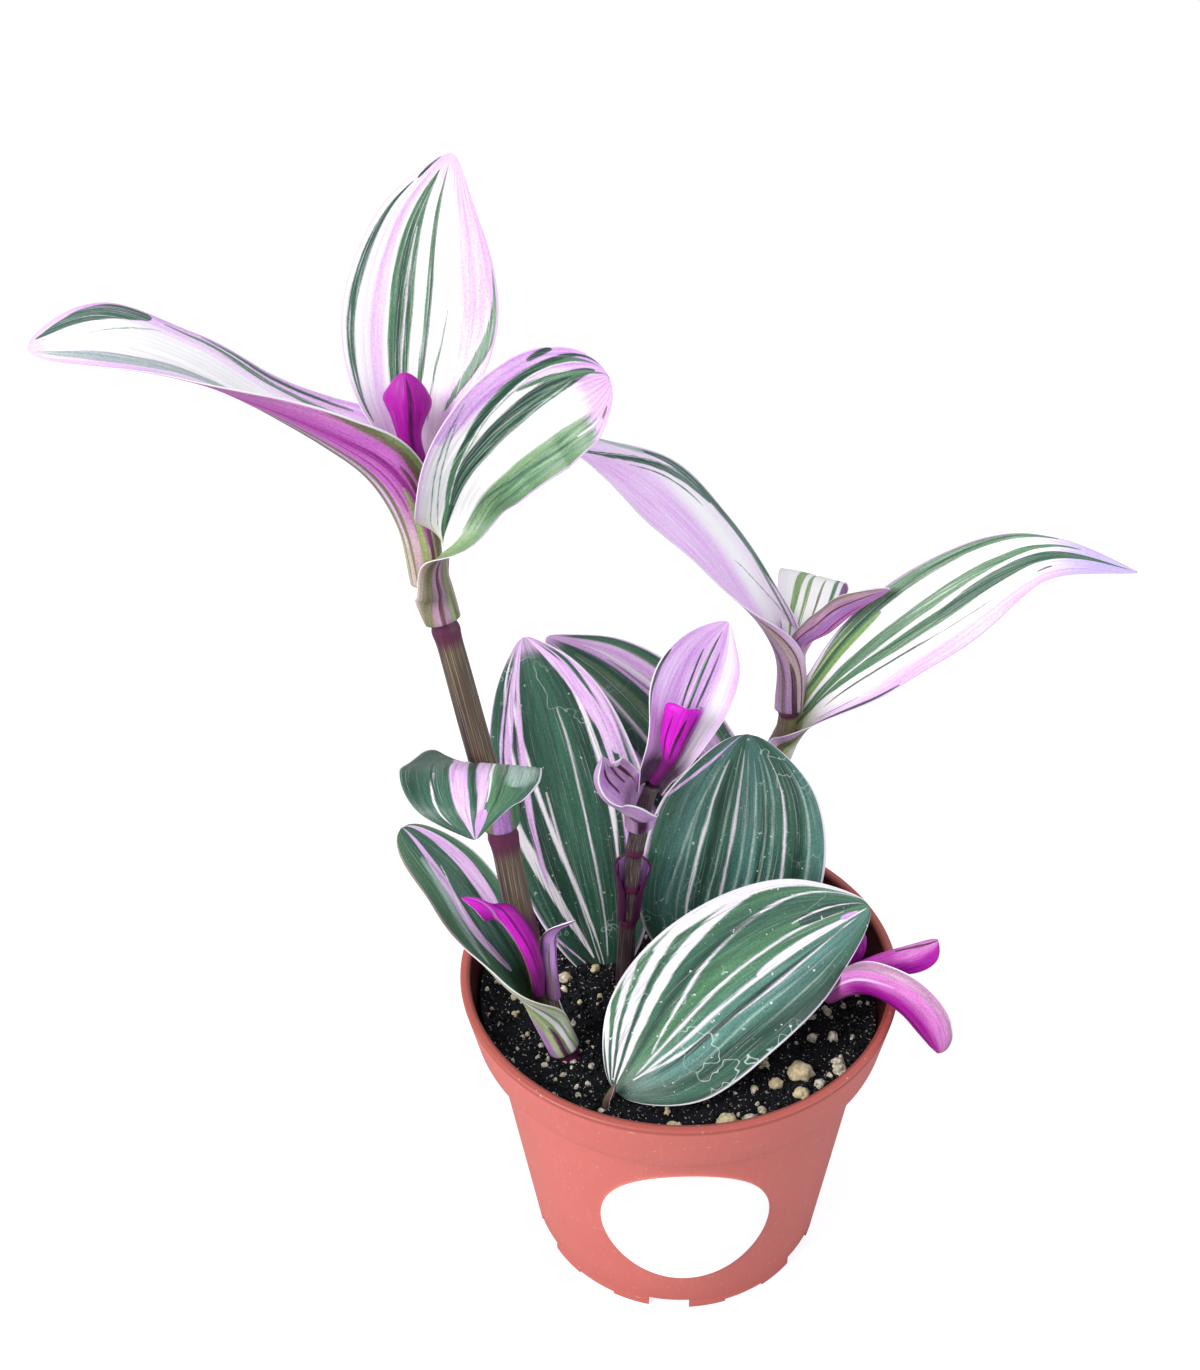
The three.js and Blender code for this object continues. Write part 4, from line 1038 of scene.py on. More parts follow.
def leaf_grid(leaf, t, v, side, look):
    """Points on the upper (side 1) or under (side -1) face, for each t along and v across."""
    rows = rows_at(leaf["rows"], t)
    travel = travel_at(leaf["rows"], t)
    up = flattened(rows[:, 5:8], travel)
    sideways = np.cross(travel, up)
    width = rows[:, 3] * np.sqrt(np.maximum(1 - t ** leaf.get("tip", BLUNTNESS), 0))
    if "base" in leaf:
        width = width * np.sqrt(np.maximum(1 - (1 - t) ** leaf["base"], 0))
    width = np.maximum(width, NARROWEST)[:, None]
    cup = np.where(np.abs(rows[:, 4]) < FLATTEST, FLATTEST, rows[:, 4])
    radius = width / np.radians(cup)[:, None]
    along, across = t[:, None], v[None, :]
    open_blade = np.clip((along - SHEATH_SHARE) * 4, 0, 1) * np.clip(width / FULL_RELIEF_WIDTH, 0, 1)
    ribs = RIB_HEIGHT * np.cos(across * math.pi * RIBS)
    midrib = -MIDRIB_DEPTH * np.exp(-(across / MIDRIB_WIDTH) ** 2) * np.clip((0.97 - along) * 5, 0, 1)
    size, waves, start = look.get("wave", WAVE)
    phase = 2 * math.pi * waves * along + start + WAVE_OFFSET * np.sign(across)
    relief = (ribs + midrib + size * np.abs(across) ** 3 * np.sin(phase)) * open_blade
    body = THICKNESS_AT_MARGIN + (1 - THICKNESS_AT_MARGIN) * (1 - np.abs(across) ** 6)
    thick = LEAF_HALF_THICKNESS * body * np.clip((1.02 - along) * 12, 0.3, 1)
    offset = side * thick + relief
    angle = across * width / 2 / radius
    middle = rows[:, None, :3]
    out = middle + sideways[:, None] * ((radius - offset) * np.sin(angle))[..., None]
    return (out + up[:, None] * (radius - (radius - offset) * np.cos(angle))[..., None]) * MM


def leaf_piece(name, leaf, look, finishes):
    """Closed thin sheet: upper face, under face and a rim between them."""
    fine = look.get("fine", 1)
    steps, spread = int(STEPS_ALONG * fine), int(STEPS_ACROSS * fine)
    even = np.linspace(0, 1, steps + 1)
    t = 0.6 * even + 0.4 * (1 - np.cos(math.pi * even)) / 2
    v = np.linspace(-1, 1, spread + 1)
    upper, under = leaf_grid(leaf, t, v, 1, look), leaf_grid(leaf, t, v, -1, look)
    points = np.concatenate((upper.reshape(-1, 3), under.reshape(-1, 3)))
    at = np.arange((steps + 1) * (spread + 1)).reshape(steps + 1, spread + 1)
    a, b, c, d = at[:-1, :-1].ravel(), at[1:, :-1].ravel(), at[1:, 1:].ravel(), at[:-1, 1:].ravel()
    below = at.size
    top = np.stack((a, d, c, b), 1)
    bottom = np.stack((a, b, c, d), 1) + below
    edge = np.concatenate((at[0, :-1], at[:-1, -1], at[-1, :0:-1], at[:0:-1, 0]))
    after = np.roll(edge, -1)
    rim = np.stack((after, edge, edge + below, after + below), 1)
    faces = np.concatenate((top, bottom, rim))
    kinds = [0] * len(top) + [1] * len(bottom) + [1] * len(rim)
    piece = new_piece(name, points, faces, finishes, kinds)
    places = np.stack(np.meshgrid(t, (v + 1) / 2, indexing="ij"), -1).reshape(-1, 2)
    uvs = np.concatenate((places, places))[faces.ravel()]
    piece.data.uv_layers.new(name=UV).uv.foreach_set("vector", uvs.astype(np.float32).ravel())
    return piece

# %% [markdown]
# ## Leaf stripes
# The stripes run along the leaf and close in towards its tip, so they belong on the
# leaf's own map. A ground colour changes across the leaf, and each stripe is laid over
# it by one node group that masks a long pointed band. The band has a start and an end
# along the leaf, a place across it at both, a bow, a half width and a soft edge.
# Streaky noise makes it wander and frays it, as the real stripes are frayed.

# %% Node group: mask of one pointed stripe
STRIPE_POINT = 0.4
STRIPE_INPUTS = ("Along", "Across", "Start", "End", "From", "To", "Bow", "Half width", "Soft")


def stripe_group():
    """Group that gives 1 inside a long pointed stripe and 0 outside it."""
    tree = bpy.data.node_groups.new("pointed_stripe", "ShaderNodeTree")
    for name in STRIPE_INPUTS:
        tree.interface.new_socket(name, in_out="INPUT", socket_type="NodeSocketFloat")
    tree.interface.new_socket("Mask", in_out="OUTPUT", socket_type="NodeSocketFloat")
    given = add(tree, "NodeGroupInput").outputs
    span = add(tree, "ShaderNodeMapRange", {
        "Value": given["Along"], "From Min": given["Start"], "From Max": given["End"],
    }).outputs[0]
    left = maths(tree, "SUBTRACT", 1.0, span)
    hump = maths(tree, "MULTIPLY", maths(tree, "MULTIPLY", span, left), 4.0)
    line = add(tree, "ShaderNodeMapRange", {
        "Value": span, "To Min": given["From"], "To Max": given["To"],
    }).outputs[0]
    centre = maths(tree, "ADD", line, maths(tree, "MULTIPLY", hump, given["Bow"]))
    away = maths(tree, "ABSOLUTE", maths(tree, "SUBTRACT", given["Across"], centre))
    reach = maths(tree, "MULTIPLY", given["Half width"], maths(tree, "POWER", hump, STRIPE_POINT))
    mask = add(tree, "ShaderNodeMapRange", {
        "Value": away, "From Min": maths(tree, "SUBTRACT", reach, given["Soft"]),
        "From Max": maths(tree, "ADD", reach, given["Soft"]), "To Min": 1.0, "To Max": 0.0,
    }, interpolation_type="SMOOTHSTEP").outputs[0]
    inside = maths(tree, "GREATER_THAN", hump, 0.001)
    out = add(tree, "NodeGroupOutput")
    tree.links.new(maths(tree, "MULTIPLY", mask, inside), out.inputs[0])
    return tree


pointed_stripe = stripe_group()

# %% Leaf finish: ground, stripes, veins
# The blue shade is partly the leaves' own blue-green and partly painted sheen.
SHADES = {
    "white": "fdfbfd", "pale": "f4ecf6", "pink": "e9bff2", "lilac": "d3a1e4", "iris": "c3aee6",
    "violet": "b07fc2", "rose": "d47fcb", "fuchsia": "cb19c4", "orchid": "da72d8", "magenta": "a3159a",
    "deep": "6e0c68", "mauve": "b189a8", "purple": "4b1844", "brown": "5c3d41", "tan": "c9b5ae",
    "olive": "747250", "leaf": "7ba05c", "lime": "a5b978", "mint": "6d9068", "green": "4c7a58",
    "mid": "35614e", "dark": "1f4638", "blue_sheen": "507f76", "black": "17291f", "grey": "9fb9ae",
    "slate": "a4b0b6",
}
SOFT_EDGE = 0.018
DARK_VEINS = ("deep", "purple")
RING_SHADE, SPECK_SHADE = "c8d8d2", "dfe8e4"


def about_zero(tree, pattern, size):
    """Noise from 0 to 1 moved to lie about zero, and scaled."""
    return maths(tree, "MULTIPLY", maths(tree, "SUBTRACT", pattern, 0.5), size)


def with_marks(tree, colour, marks):
    """Dried rings and specks over a leaf, as strong as the marks."""
    here = object_place(tree)
    contour = maths(tree, "ABSOLUTE", maths(tree, "SUBTRACT", grain(tree, here, 75, 3, 0.6), 0.5))
    outline = ramp(tree, contour, [(0.0, marks), (0.008, 0.0)])
    patches = ramp(tree, grain(tree, here, 40, 2), [(0.5, 0.0), (0.62, 1.0)])
    colour = blend(tree, maths(tree, "MULTIPLY", outline, patches), colour, rgb(RING_SHADE))
    specks = grain(tree, here, 800, 2, 0.5)
    return over(tree, colour, specks, [(0.7, 0.0), (0.74, marks)], SPECK_SHADE)


def leaf_finish(name, side, seed):
    """Finish of one side of a leaf from its ground, ends and stripes."""
    dark_veined = side.get("vein") in DARK_VEINS
    finish, tree, shader = new_finish(name, side.get("gloss", 0.36), {
        "Specular IOR Level": 0.2 if dark_veined else 0.5, "Subsurface Weight": 0.12,
        "Subsurface Radius": (1, 0.6, 0.6), "Subsurface Scale": 0.0015,
    })
    place, along, across01 = along_and_across(tree)
    shift, slow_shift = (seed * 3.7, seed * 1.3, seed), (seed, seed * 2.1, 0)
    spot = add(tree, "ShaderNodeMapping", {0: place, 1: shift, 3: (5, 75, 1)}).outputs[0]
    slow_spot = add(tree, "ShaderNodeMapping", {0: place, 1: slow_shift, 3: (3, 7, 1)}).outputs[0]
    fibre = grain(tree, spot, 1, 5, 0.65)
    slow = grain(tree, slow_spot, 1, 2)
    wander = maths(tree, "ADD", about_zero(tree, slow, 0.07), about_zero(tree, fibre, 0.07))
    level = maths(tree, "SUBTRACT", maths(tree, "MULTIPLY", across01, 2.0), 1.0)
    across = maths(tree, "ADD", level, wander)
    ground_place = maths(tree, "ADD", maths(tree, "MULTIPLY", across, 0.5), 0.5)
    colour = ramp(tree, ground_place, [((v + 1) / 2, SHADES[s]) for v, s in side["ground"]])
    for shade, start, end, strength in side.get("ends", ()):
        share = maths(tree, "ADD", along, about_zero(tree, fibre, 0.12))
        inputs = {"Value": share, "From Min": start, "From Max": end, "To Max": strength}
        fade = add(tree, "ShaderNodeMapRange", inputs, interpolation_type="SMOOTHSTEP").outputs[0]
        colour = blend(tree, fade, colour, rgb(SHADES[shade]))
    for shade, *numbers in side["stripes"]:
        numbers = numbers if len(numbers) == 7 else (*numbers, SOFT_EDGE)
        group = add(tree, "ShaderNodeGroup", node_tree=pointed_stripe)
        for socket, value in zip(list(group.inputs)[2:], numbers):
            socket.default_value = value
        tree.links.new(along, group.inputs[0])
        tree.links.new(across, group.inputs[1])
        fray = ramp(tree, fibre, [(0.3, 0.5), (0.48, 1.0)])
        colour = blend(tree, maths(tree, "MULTIPLY", group.outputs[0], fray), colour, rgb(SHADES[shade]))
    colour = over(tree, colour, fibre, [(0.3, 0.22), (0.5, 0.0)], SHADES[side.get("vein", "green")])
    streaks = grain(tree, stretched(tree, spot, (1, 0.35, 1)), 1, 4, 0.7)
    tone = ramp(tree, streaks, [(0.3, 0.15), (0.7, 0.9)], "LINEAR")
    colour = blend(tree, 0.5, colour, tone, "OVERLAY")
    thread = grain(tree, stretched(tree, spot, (0.6, 2.2, 1)), 1, 3, 0.6)
    threads = 0.06 if dark_veined else 0.28
    colour = over(tree, colour, thread, [(0.58, 0.0), (0.68, threads)], SHADES["pale"])
    cells = grain(tree, stretched(tree, place, (150, 60, 1)), 1, 2)
    colour = blend(tree, 0.3, colour, ramp(tree, cells, [(0.3, 0.2), (0.65, 0.75)]), "OVERLAY")
    outwards = maths(tree, "ABSOLUTE", maths(tree, "SUBTRACT", across01, 0.5))
    colour = over(tree, colour, outwards, [(0.484, 0.0), (0.492, 1.0)], SHADES[side.get("margin", "pale")])
    if "marks" in side:
        colour = with_marks(tree, colour, side["marks"])
    tree.links.new(colour, shader.inputs["Base Color"])
    veins = bump(tree, shader, fibre, 0.3, 0.00025)
    bump(tree, shader, grain(tree, object_place(tree), 2200, 2), 0.12, 0.0001, veins)
    return finish


def plain(*stops):
    """Ground colours evenly spaced from one margin to the other."""
    return [(-1 + 2 * k / (len(stops) - 1), shade) for k, shade in enumerate(stops)]


def side(ground, stripes, **more):
    """One side of a leaf: ground colours, stripes, and what else sets it apart."""
    return {"ground": ground, "stripes": stripes, **more}


def dress(slot, upper, under, **more):
    """Look of a leaf: its material slot, its two sides, and its shape's details."""
    return {"slot": slot, "upper": upper, "under": under, **more}


# %% Stripes of each leaf
# Ground: (place across the leaf, shade). Ends: (shade, start, end, strength).
# Stripe: (shade, start, end, place at start, place at end, bow, half width), and for
# some a soft edge. Along a leaf runs from 0 to 1, and across it from -1 to 1.
MAGENTA_UNDER = side(
    plain("rose", "magenta", "magenta", "magenta", "rose"),
    [("deep", 0.1, 0.95, -0.4, -0.3, 0, 0.03), ("deep", 0.05, 0.9, 0.1, 0.05, 0, 0.03),
     ("deep", 0.1, 0.95, 0.5, 0.4, 0, 0.03)],
    vein="deep",
)
PURPLE_UNDER = side(
    plain("violet", "lilac", "violet", "lilac", "violet"),
    [("purple", 0.05, 0.9, -0.6, -0.5, 0, 0.06), ("purple", 0.05, 0.95, -0.15, -0.1, 0, 0.05),
     ("purple", 0.05, 0.95, 0.3, 0.25, 0, 0.05), ("purple", 0.05, 0.9, 0.7, 0.6, 0, 0.05)],
    vein="purple",
)
LOOKS = {
    "leaf_a1": dress("leaf_pink_striped", side(
        [(-1, "lilac"), (-0.9, "pink"), (-0.5, "pale"), (0, "white"), (0.5, "white"), (0.9, "pink"),
         (1, "lilac")],
        [("green", 0.36, 0.76, 0.72, 0.9, 0, 0.045), ("mid", 0.38, 0.7, 0.88, 0.97, 0, 0.03),
         ("mid", 0.78, 0.985, 0.9, 0.55, 0, 0.2), ("grey", 0.76, 0.9, 0.7, 0.1, 0, 0.02),
         ("slate", 0.42, 0.98, 0.2, -0.55, -0.24, 0.2), ("grey", 0.5, 0.97, 0.25, -0.55, -0.2, 0.02)],
        ends=[("pink", 0.9, 1, 0.9)], margin="pink", vein="pink",
    ), side(
        [(-1, "rose"), (-0.88, "rose"), (-0.8, "orchid"), (-0.42, "orchid"), (-0.3, "mauve"),
         (-0.1, "mauve"), (0.1, "violet"), (1, "mauve")],
        [("olive", 0.04, 0.5, -0.8, -1, 0, 0.09), ("leaf", 0.06, 0.44, -0.88, -1, 0, 0.03),
         ("brown", -0.1, 0.3, -0.66, -0.74, 0, 0.04), ("olive", 0, 0.66, -0.3, -0.36, 0, 0.04),
         ("olive", 0, 0.62, -0.14, -0.22, 0, 0.04), ("pink", 0.1, 0.66, -0.24, -0.32, 0, 0.03, 0.03),
         ("magenta", 0.1, 0.66, -0.66, -0.6, 0, 0.06, 0.06), ("deep", 0.2, 0.66, -0.5, -0.5, 0, 0.008),
         ("brown", 0, 0.5, 0, -0.1, 0, 0.03), ("olive", -0.1, 0.4, 0.5, 0.5, 0, 0.08),
         ("lime", -0.1, 0.26, -0.5, -0.6, 0, 0.05), ("lime", -0.1, 0.24, -0.05, -0.1, 0, 0.05)],
        ends=[("tan", 0.3, 0.1, 0.8)], vein="brown",
    )),
    "leaf_a2": dress("leaf_pink_striped", side(
        [(-1, "white"), (-0.85, "white"), (-0.7, "pale"), (-0.55, "pink"), (-0.42, "white"),
         (0.35, "white"), (0.6, "pink"), (0.9, "pink"), (1, "lilac")],
        [("green", 0.34, 0.97, 0, 0, 0.08, 0.05), ("dark", 0.36, 0.9, 0.03, 0.02, 0.07, 0.016),
         ("green", 0.28, 0.95, -0.28, -0.35, 0.05, 0.15), ("dark", 0.36, 0.84, -0.28, -0.32, 0.02, 0.03),
         ("pale", 0.42, 0.8, -0.23, -0.24, 0.04, 0.014), ("dark", 0.4, 0.7, -0.16, -0.2, 0.02, 0.016),
         ("mid", 0.34, 0.9, -0.9, -0.84, 0, 0.055), ("green", 0.36, 0.76, 0.5, 1.02, 0.14, 0.085),
         ("dark", 0.38, 0.62, 0.6, 0.98, 0.1, 0.02), ("green", 0.34, 0.62, 0.18, 0.34, 0, 0.014),
         ("dark", 0.91, 0.985, -0.8, -0.95, 0, 0.07)],
        ends=[("pink", 0.86, 1, 0.95), ("pink", 0.5, 0.3, 0.5)], margin="pink", vein="pink",
    ), PURPLE_UNDER, wave=(0.3, 2, 0)),
    "leaf_a3": dress("leaf_pink_striped", side(
        [(-1, "pink"), (-0.8, "pale"), (-0.5, "white"), (-0.1, "white"), (0.38, "white"), (0.46, "mint"),
         (0.9, "mint"), (1, "green")],
        [("lilac", 0.5, 1.04, -0.9, -0.7, 0.05, 0.26, 0.14), ("mid", 0.36, 0.89, 0.4, 0.66, 0.12, 0.025),
         ("green", 0.36, 0.87, 0.85, 0.8, 0, 0.05, 0.04), ("green", 0.4, 0.87, 0.75, 0.5, 0, 0.03),
         ("green", 0.4, 0.88, 0.6, 0.9, 0, 0.02), ("pale", 0.8, 0.9, 0.68, 0.7, 0, 0.02),
         ("dark", 0.32, 0.96, -0.15, -0.42, 0.1, 0.17), ("grey", 0.4, 0.86, -0.06, -0.26, 0.13, 0.014),
         ("green", 0.36, 0.9, -0.12, -0.36, 0.08, 0.02), ("green", 0.34, 0.98, -0.1, -0.7, -0.17, 0.09),
         ("dark", 0.5, 1, -0.45, -0.95, 0.06, 0.06), ("green", 0.7, 1.03, -0.5, -0.3, 0, 0.05),
         ("white", 0.4, 0.92, -0.16, -0.62, -0.12, 0.012), ("green", 0.34, 0.56, -0.3, -0.8, 0, 0.014),
         ("green", 0.32, 0.6, -0.5, -0.9, 0, 0.014), ("dark", 0.76, 0.85, -0.84, -0.95, 0, 0.05),
         ("brown", 0.91, 0.95, 0.8, 0.75, 0, 0.05)],
        ends=[("lilac", 0.82, 0.9, 0.95), ("lime", 0.4, 0.25, 0.6)], margin="pink", vein="green",
    ), side(
        plain("tan", "olive", "tan", "olive", "mauve", "olive", "tan"),
        [("leaf", -0.2, 0.45, -0.55, -0.6, 0, 0.05), ("leaf", -0.2, 0.45, 0.1, 0, 0, 0.04),
         ("brown", -0.2, 0.5, 0.3, 0.35, 0, 0.05), ("olive", -0.2, 0.5, 0.6, 0.6, 0, 0.1),
         ("brown", -0.2, 0.4, -0.35, -0.3, 0, 0.04), ("purple", -0.2, 0.08, -0.8, -0.7, 0, 0.1)],
        vein="brown",
    )),
    "bud_a": dress("leaf_magenta", MAGENTA_UNDER, side(
        plain("magenta", "magenta", "magenta", "magenta", "magenta"),
        [("deep", 0.3, 0.98, -0.15, -0.12, 0, 0.08), ("purple", 0.4, 0.95, -0.14, -0.12, 0, 0.03)],
        # The deep end at the bud's base is painted shadow.
        ends=[("deep", 0.55, 0.3, 0.8)], vein="deep",
    ), fine=0.5),
    "leaf_b1": dress("leaf_pink_striped", side(
        [(-1, "pink"), (-0.5, "pink"), (-0.1, "pink"), (0.4, "white"), (0.7, "pale"), (1, "pink")],
        [("mid", 0.3, 0.8, 0.98, 0.82, 0, 0.1), ("mid", 0.54, 0.97, 0.8, -0.78, 0.33, 0.12),
         ("dark", 0.6, 0.94, 0.78, -0.7, 0.24, 0.05), ("grey", 0.58, 0.94, 0.78, -0.7, 0.36, 0.018),
         ("green", 0.55, 0.75, 0.55, 0.1, 0.08, 0.025), ("grey", 0.72, 0.92, 0.8, 0.95, 0, 0.14, 0.08),
         ("green", 0.18, 0.5, 0.82, 0.92, 0, 0.03), ("green", 0.2, 0.42, 0.95, 0.98, 0, 0.02),
         ("green", 0.24, 0.42, 0.8, 0.3, 0.05, 0.012)],
        ends=[("pink", 0.55, 0.75, 0.7), ("lilac", 0.9, 1, 0.4)], vein="pink",
    ), side(
        plain("pink", "tan", "violet", "tan", "pink", "tan", "violet"),
        [("olive", -0.2, 0.42, 0.85, 0.8, 0, 0.06), ("mauve", -0.2, 0.42, 0.62, 0.5, 0, 0.05),
         ("olive", -0.2, 0.42, 0.35, 0.2, 0, 0.04), ("mauve", -0.2, 0.5, -0.1, -0.1, 0, 0.05),
         ("olive", -0.2, 0.4, -0.3, -0.35, 0, 0.04), ("purple", -0.2, 0.16, -0.6, -0.6, 0, 0.08),
         ("brown", -0.2, 0.5, -0.8, -0.8, 0, 0.02)],
        ends=[("magenta", 0.5, 0.8, 0.7)], vein="mauve",
    )),
    "leaf_b2": dress("leaf_pink_striped", side(
        [(-1, "pale"), (-0.6, "white"), (0.3, "white"), (0.5, "pale"), (0.8, "pink"), (1, "pink")],
        [("leaf", 0.12, 0.5, -0.75, -0.65, 0.03, 0.16), ("green", 0.26, 0.86, -0.75, -0.98, 0, 0.17),
         ("lime", 0.16, 0.44, -0.85, -0.78, 0, 0.03), ("leaf", 0.14, 0.56, -0.5, 0.05, 0.18, 0.09),
         ("green", 0.2, 0.88, -0.35, -0.1, 0.36, 0.14), ("green", 0.2, 0.9, -0.45, -0.65, 0.36, 0.12),
         ("mid", 0.58, 0.99, 0.15, -0.2, 0, 0.19), ("dark", 0.4, 0.86, -0.05, -0.05, 0.2, 0.02),
         ("dark", 0.3, 0.8, -0.7, -0.95, 0.04, 0.02), ("dark", 0.08, 0.46, 0.94, 0.96, 0, 0.06),
         ("white", 0.26, 0.86, -0.2, -0.35, 0.25, 0.018), ("dark", 0.28, 0.55, 0.22, 0.42, 0, 0.026),
         ("dark", 0.5, 0.68, 0.38, 0.52, 0, 0.012), ("green", 0.2, 0.37, 0.3, 0.68, 0.12, 0.018),
         ("dark", 0.26, 0.44, 0.98, 0.95, 0, 0.05), ("purple", 0.8, 0.84, 0.48, 0.42, 0, 0.04)],
        ends=[("iris", 0.78, 0.92, 0.95), ("lime", 0.3, 0.14, 0.7)], margin="lilac", vein="lime",
    ), side(
        plain("brown", "lime", "pale", "lime", "pink"),
        [("olive", -0.2, 0.8, -0.6, -0.6, 0, 0.12), ("olive", -0.2, 0.8, 0, 0, 0, 0.1),
         ("olive", -0.2, 0.8, 0.6, 0.6, 0, 0.12), ("lilac", 0.3, 1, 0.3, 0.3, 0, 0.3, 0.1)],
        vein="olive",
    ), wave=(0.6, 3.5, 1)),
    "leaf_b3": dress("leaf_pink_striped", side(
        plain("pale", "white", "white", "white", "pale"),
        [("olive", 0.25, 0.6, 0.35, 0.45, 0, 0.035), ("leaf", 0.22, 0.75, -0.2, 0, 0.1, 0.05),
         ("olive", 0.22, 0.6, -0.15, 0.05, 0.1, 0.015), ("leaf", 0.25, 0.9, -0.6, -0.4, 0.2, 0.12),
         ("olive", 0.7, 0.98, 0.3, -0.6, 0.05, 0.03), ("green", 0.1, 0.95, 0.8, 0.8, 0, 0.06)],
        ends=[("olive", 0.9, 0.98, 0.6)], vein="leaf",
    ), PURPLE_UNDER, fine=0.7),
    "leaf_b4": dress("leaf_magenta", side(
        plain("pink", "pale", "pink", "pale", "pink"),
        [("green", 0.1, 0.9, 0.4, 0.4, 0, 0.1), ("green", 0.1, 0.9, -0.4, -0.4, 0, 0.1)],
    ), side(
        plain("olive", "mauve", "violet", "orchid", "rose", "violet", "mauve", "olive"),
        [("deep", 0.25, 0.95, 0.2, 0.2, 0, 0.03), ("deep", 0.25, 0.95, -0.2, -0.25, 0, 0.03),
         ("brown", 0.1, 0.98, 0.62, 0.62, 0, 0.03), ("brown", 0.1, 0.98, -0.6, -0.6, 0, 0.03)],
        ends=[("tan", 0.3, 0.15, 0.8)], vein="deep",
    ), fine=0.6),
    "leaf_c1": dress("leaf_green_striped", side(
        [(-1, "pink"), (-0.93, "mid"), (-0.5, "dark"), (0, "mid"), (0.5, "dark"), (0.9, "mid"),
         (1, "pink")],
        [("pale", 0.3, 0.86, 0.45, 0.58, 0, 0.035), ("pink", 0.3, 0.95, 0.6, 0.78, 0, 0.04),
         ("pink", 0.45, 0.95, 0.8, 0.98, 0, 0.06), ("pale", 0.06, 0.88, 0, -0.62, -0.08, 0.03),
         ("pale", 0.1, 0.5, -0.3, -0.82, -0.05, 0.075), ("pink", 0.04, 0.24, -0.4, -1, -0.1, 0.03),
         ("pale", 0.5, 0.95, -0.62, -0.8, 0, 0.03), ("pale", 0.1, 0.7, 0.12, 0.16, 0, 0.01),
         ("pink", 0.4, 1.03, -0.9, -0.45, 0, 0.1), ("pink", 0.3, 1, -0.62, -0.4, 0, 0.045),
         ("pink", 0.55, 1.03, 0.78, 0.45, 0, 0.13), ("dark", 0.5, 0.9, -0.85, -0.6, 0, 0.02),
         ("pale", 0.08, 0.5, -0.15, -0.3, -0.03, 0.012)],
        ends=[("pink", 0.88, 0.97, 0.6), ("black", 0.2, 0.06, 0.5)], vein="black", marks=0.6, gloss=0.3,
    ), PURPLE_UNDER),
    "leaf_c2": dress("leaf_green_striped", side(
        [(-1, "lilac"), (-0.9, "pink"), (-0.84, "dark"), (-0.76, "pink"), (-0.66, "dark"), (-0.5, "dark"),
         (-0.44, "pink"), (-0.36, "dark"), (-0.22, "mid"), (-0.15, "pale"), (-0.1, "green"), (0.3, "mid"),
         (0.36, "pink"), (0.74, "pink"), (0.8, "green"), (0.94, "mid"), (1, "pink")],
        [("mint", 0.4, 0.9, 0.12, 0.1, 0, 0.06, 0.05), ("dark", 0.5, 0.82, 0.4, 0.4, 0, 0.012),
         ("white", 0.45, 0.9, 0.46, 0.5, 0, 0.04), ("grey", 0.4, 0.9, 0.02, 0.04, 0, 0.012)],
        ends=[("pink", 0.93, 1, 0.9)], vein="dark", marks=0.4,
    ), PURPLE_UNDER),
    "leaf_c3": dress("leaf_green_striped", side(
        # Its blue bands are partly painted sheen.
        [(-1, "pink"), (-0.94, "mid"), (-0.6, "blue_sheen"), (-0.2, "mid"), (0.2, "blue_sheen"), (0.6, "mid"),
         (1, "blue_sheen")],
        [("grey", 0.1, 0.9, 0.84, 0.8, 0, 0.014), ("pale", 0.2, 0.92, 0.6, 0.5, 0, 0.014),
         ("grey", 0.1, 0.94, 0.42, 0.38, 0, 0.012), ("grey", 0.1, 0.9, 0.2, 0.18, 0, 0.016),
         ("pale", 0.1, 0.94, -0.05, -0.05, 0, 0.016), ("grey", 0.1, 0.95, -0.2, -0.14, 0, 0.012),
         ("white", 0.12, 0.9, -0.42, -0.36, 0, 0.02), ("grey", 0.3, 0.97, -0.66, -0.42, 0, 0.014),
         ("pink", 0.74, 1, -0.98, -0.5, 0, 0.04), ("dark", 0.1, 0.9, 0.3, 0.3, 0, 0.05, 0.04),
         ("grey", 0.15, 0.9, 0.7, 0.66, 0, 0.01), ("grey", 0.15, 0.92, 0.32, 0.3, 0, 0.01),
         ("grey", 0.15, 0.94, 0.08, 0.06, 0, 0.01), ("grey", 0.15, 0.88, -0.54, -0.48, 0, 0.012),
         ("dark", 0.1, 0.9, -0.3, -0.26, 0, 0.04, 0.03), ("dark", 0.1, 0.9, 0.72, 0.68, 0, 0.06, 0.05)],
        ends=[("dark", 0.3, 0.1, 0.6)], vein="black", marks=0.8, gloss=0.34,
    ), PURPLE_UNDER),
    "leaf_c4": dress("leaf_green_striped", side(
        # Its blue band is partly painted sheen.
        [(-1, "white"), (-0.94, "green"), (-0.5, "mid"), (-0.1, "green"), (0.4, "blue_sheen"), (0.8, "mid"),
         (1, "dark")],
        [("pale", 0.08, 0.95, 0.12, 0.22, 0.2, 0.025), ("pale", 0.08, 0.97, 0.14, 0.1, 0.06, 0.024),
         ("pale", 0.6, 0.99, 0.14, 0.08, 0, 0.06), ("pale", 0.1, 0.92, 0.08, -0.15, 0, 0.018),
         ("pale", 0.2, 0.98, 0, -0.85, -0.02, 0.022), ("pale", 0.02, 0.76, -0.22, -0.95, 0.03, 0.07),
         ("pale", 0.02, 0.56, -0.4, -1, 0.02, 0.07), ("dark", 0.04, 0.6, -0.32, -0.94, 0.02, 0.012),
         ("pale", 0.02, 0.4, -0.55, -1.02, 0, 0.05), ("pale", 0, 0.24, -0.74, -1.02, 0, 0.06),
         ("pale", 0.42, 1.05, -0.9, -0.95, 0, 0.07), ("dark", 0.78, 0.99, -0.2, -0.4, 0, 0.14),
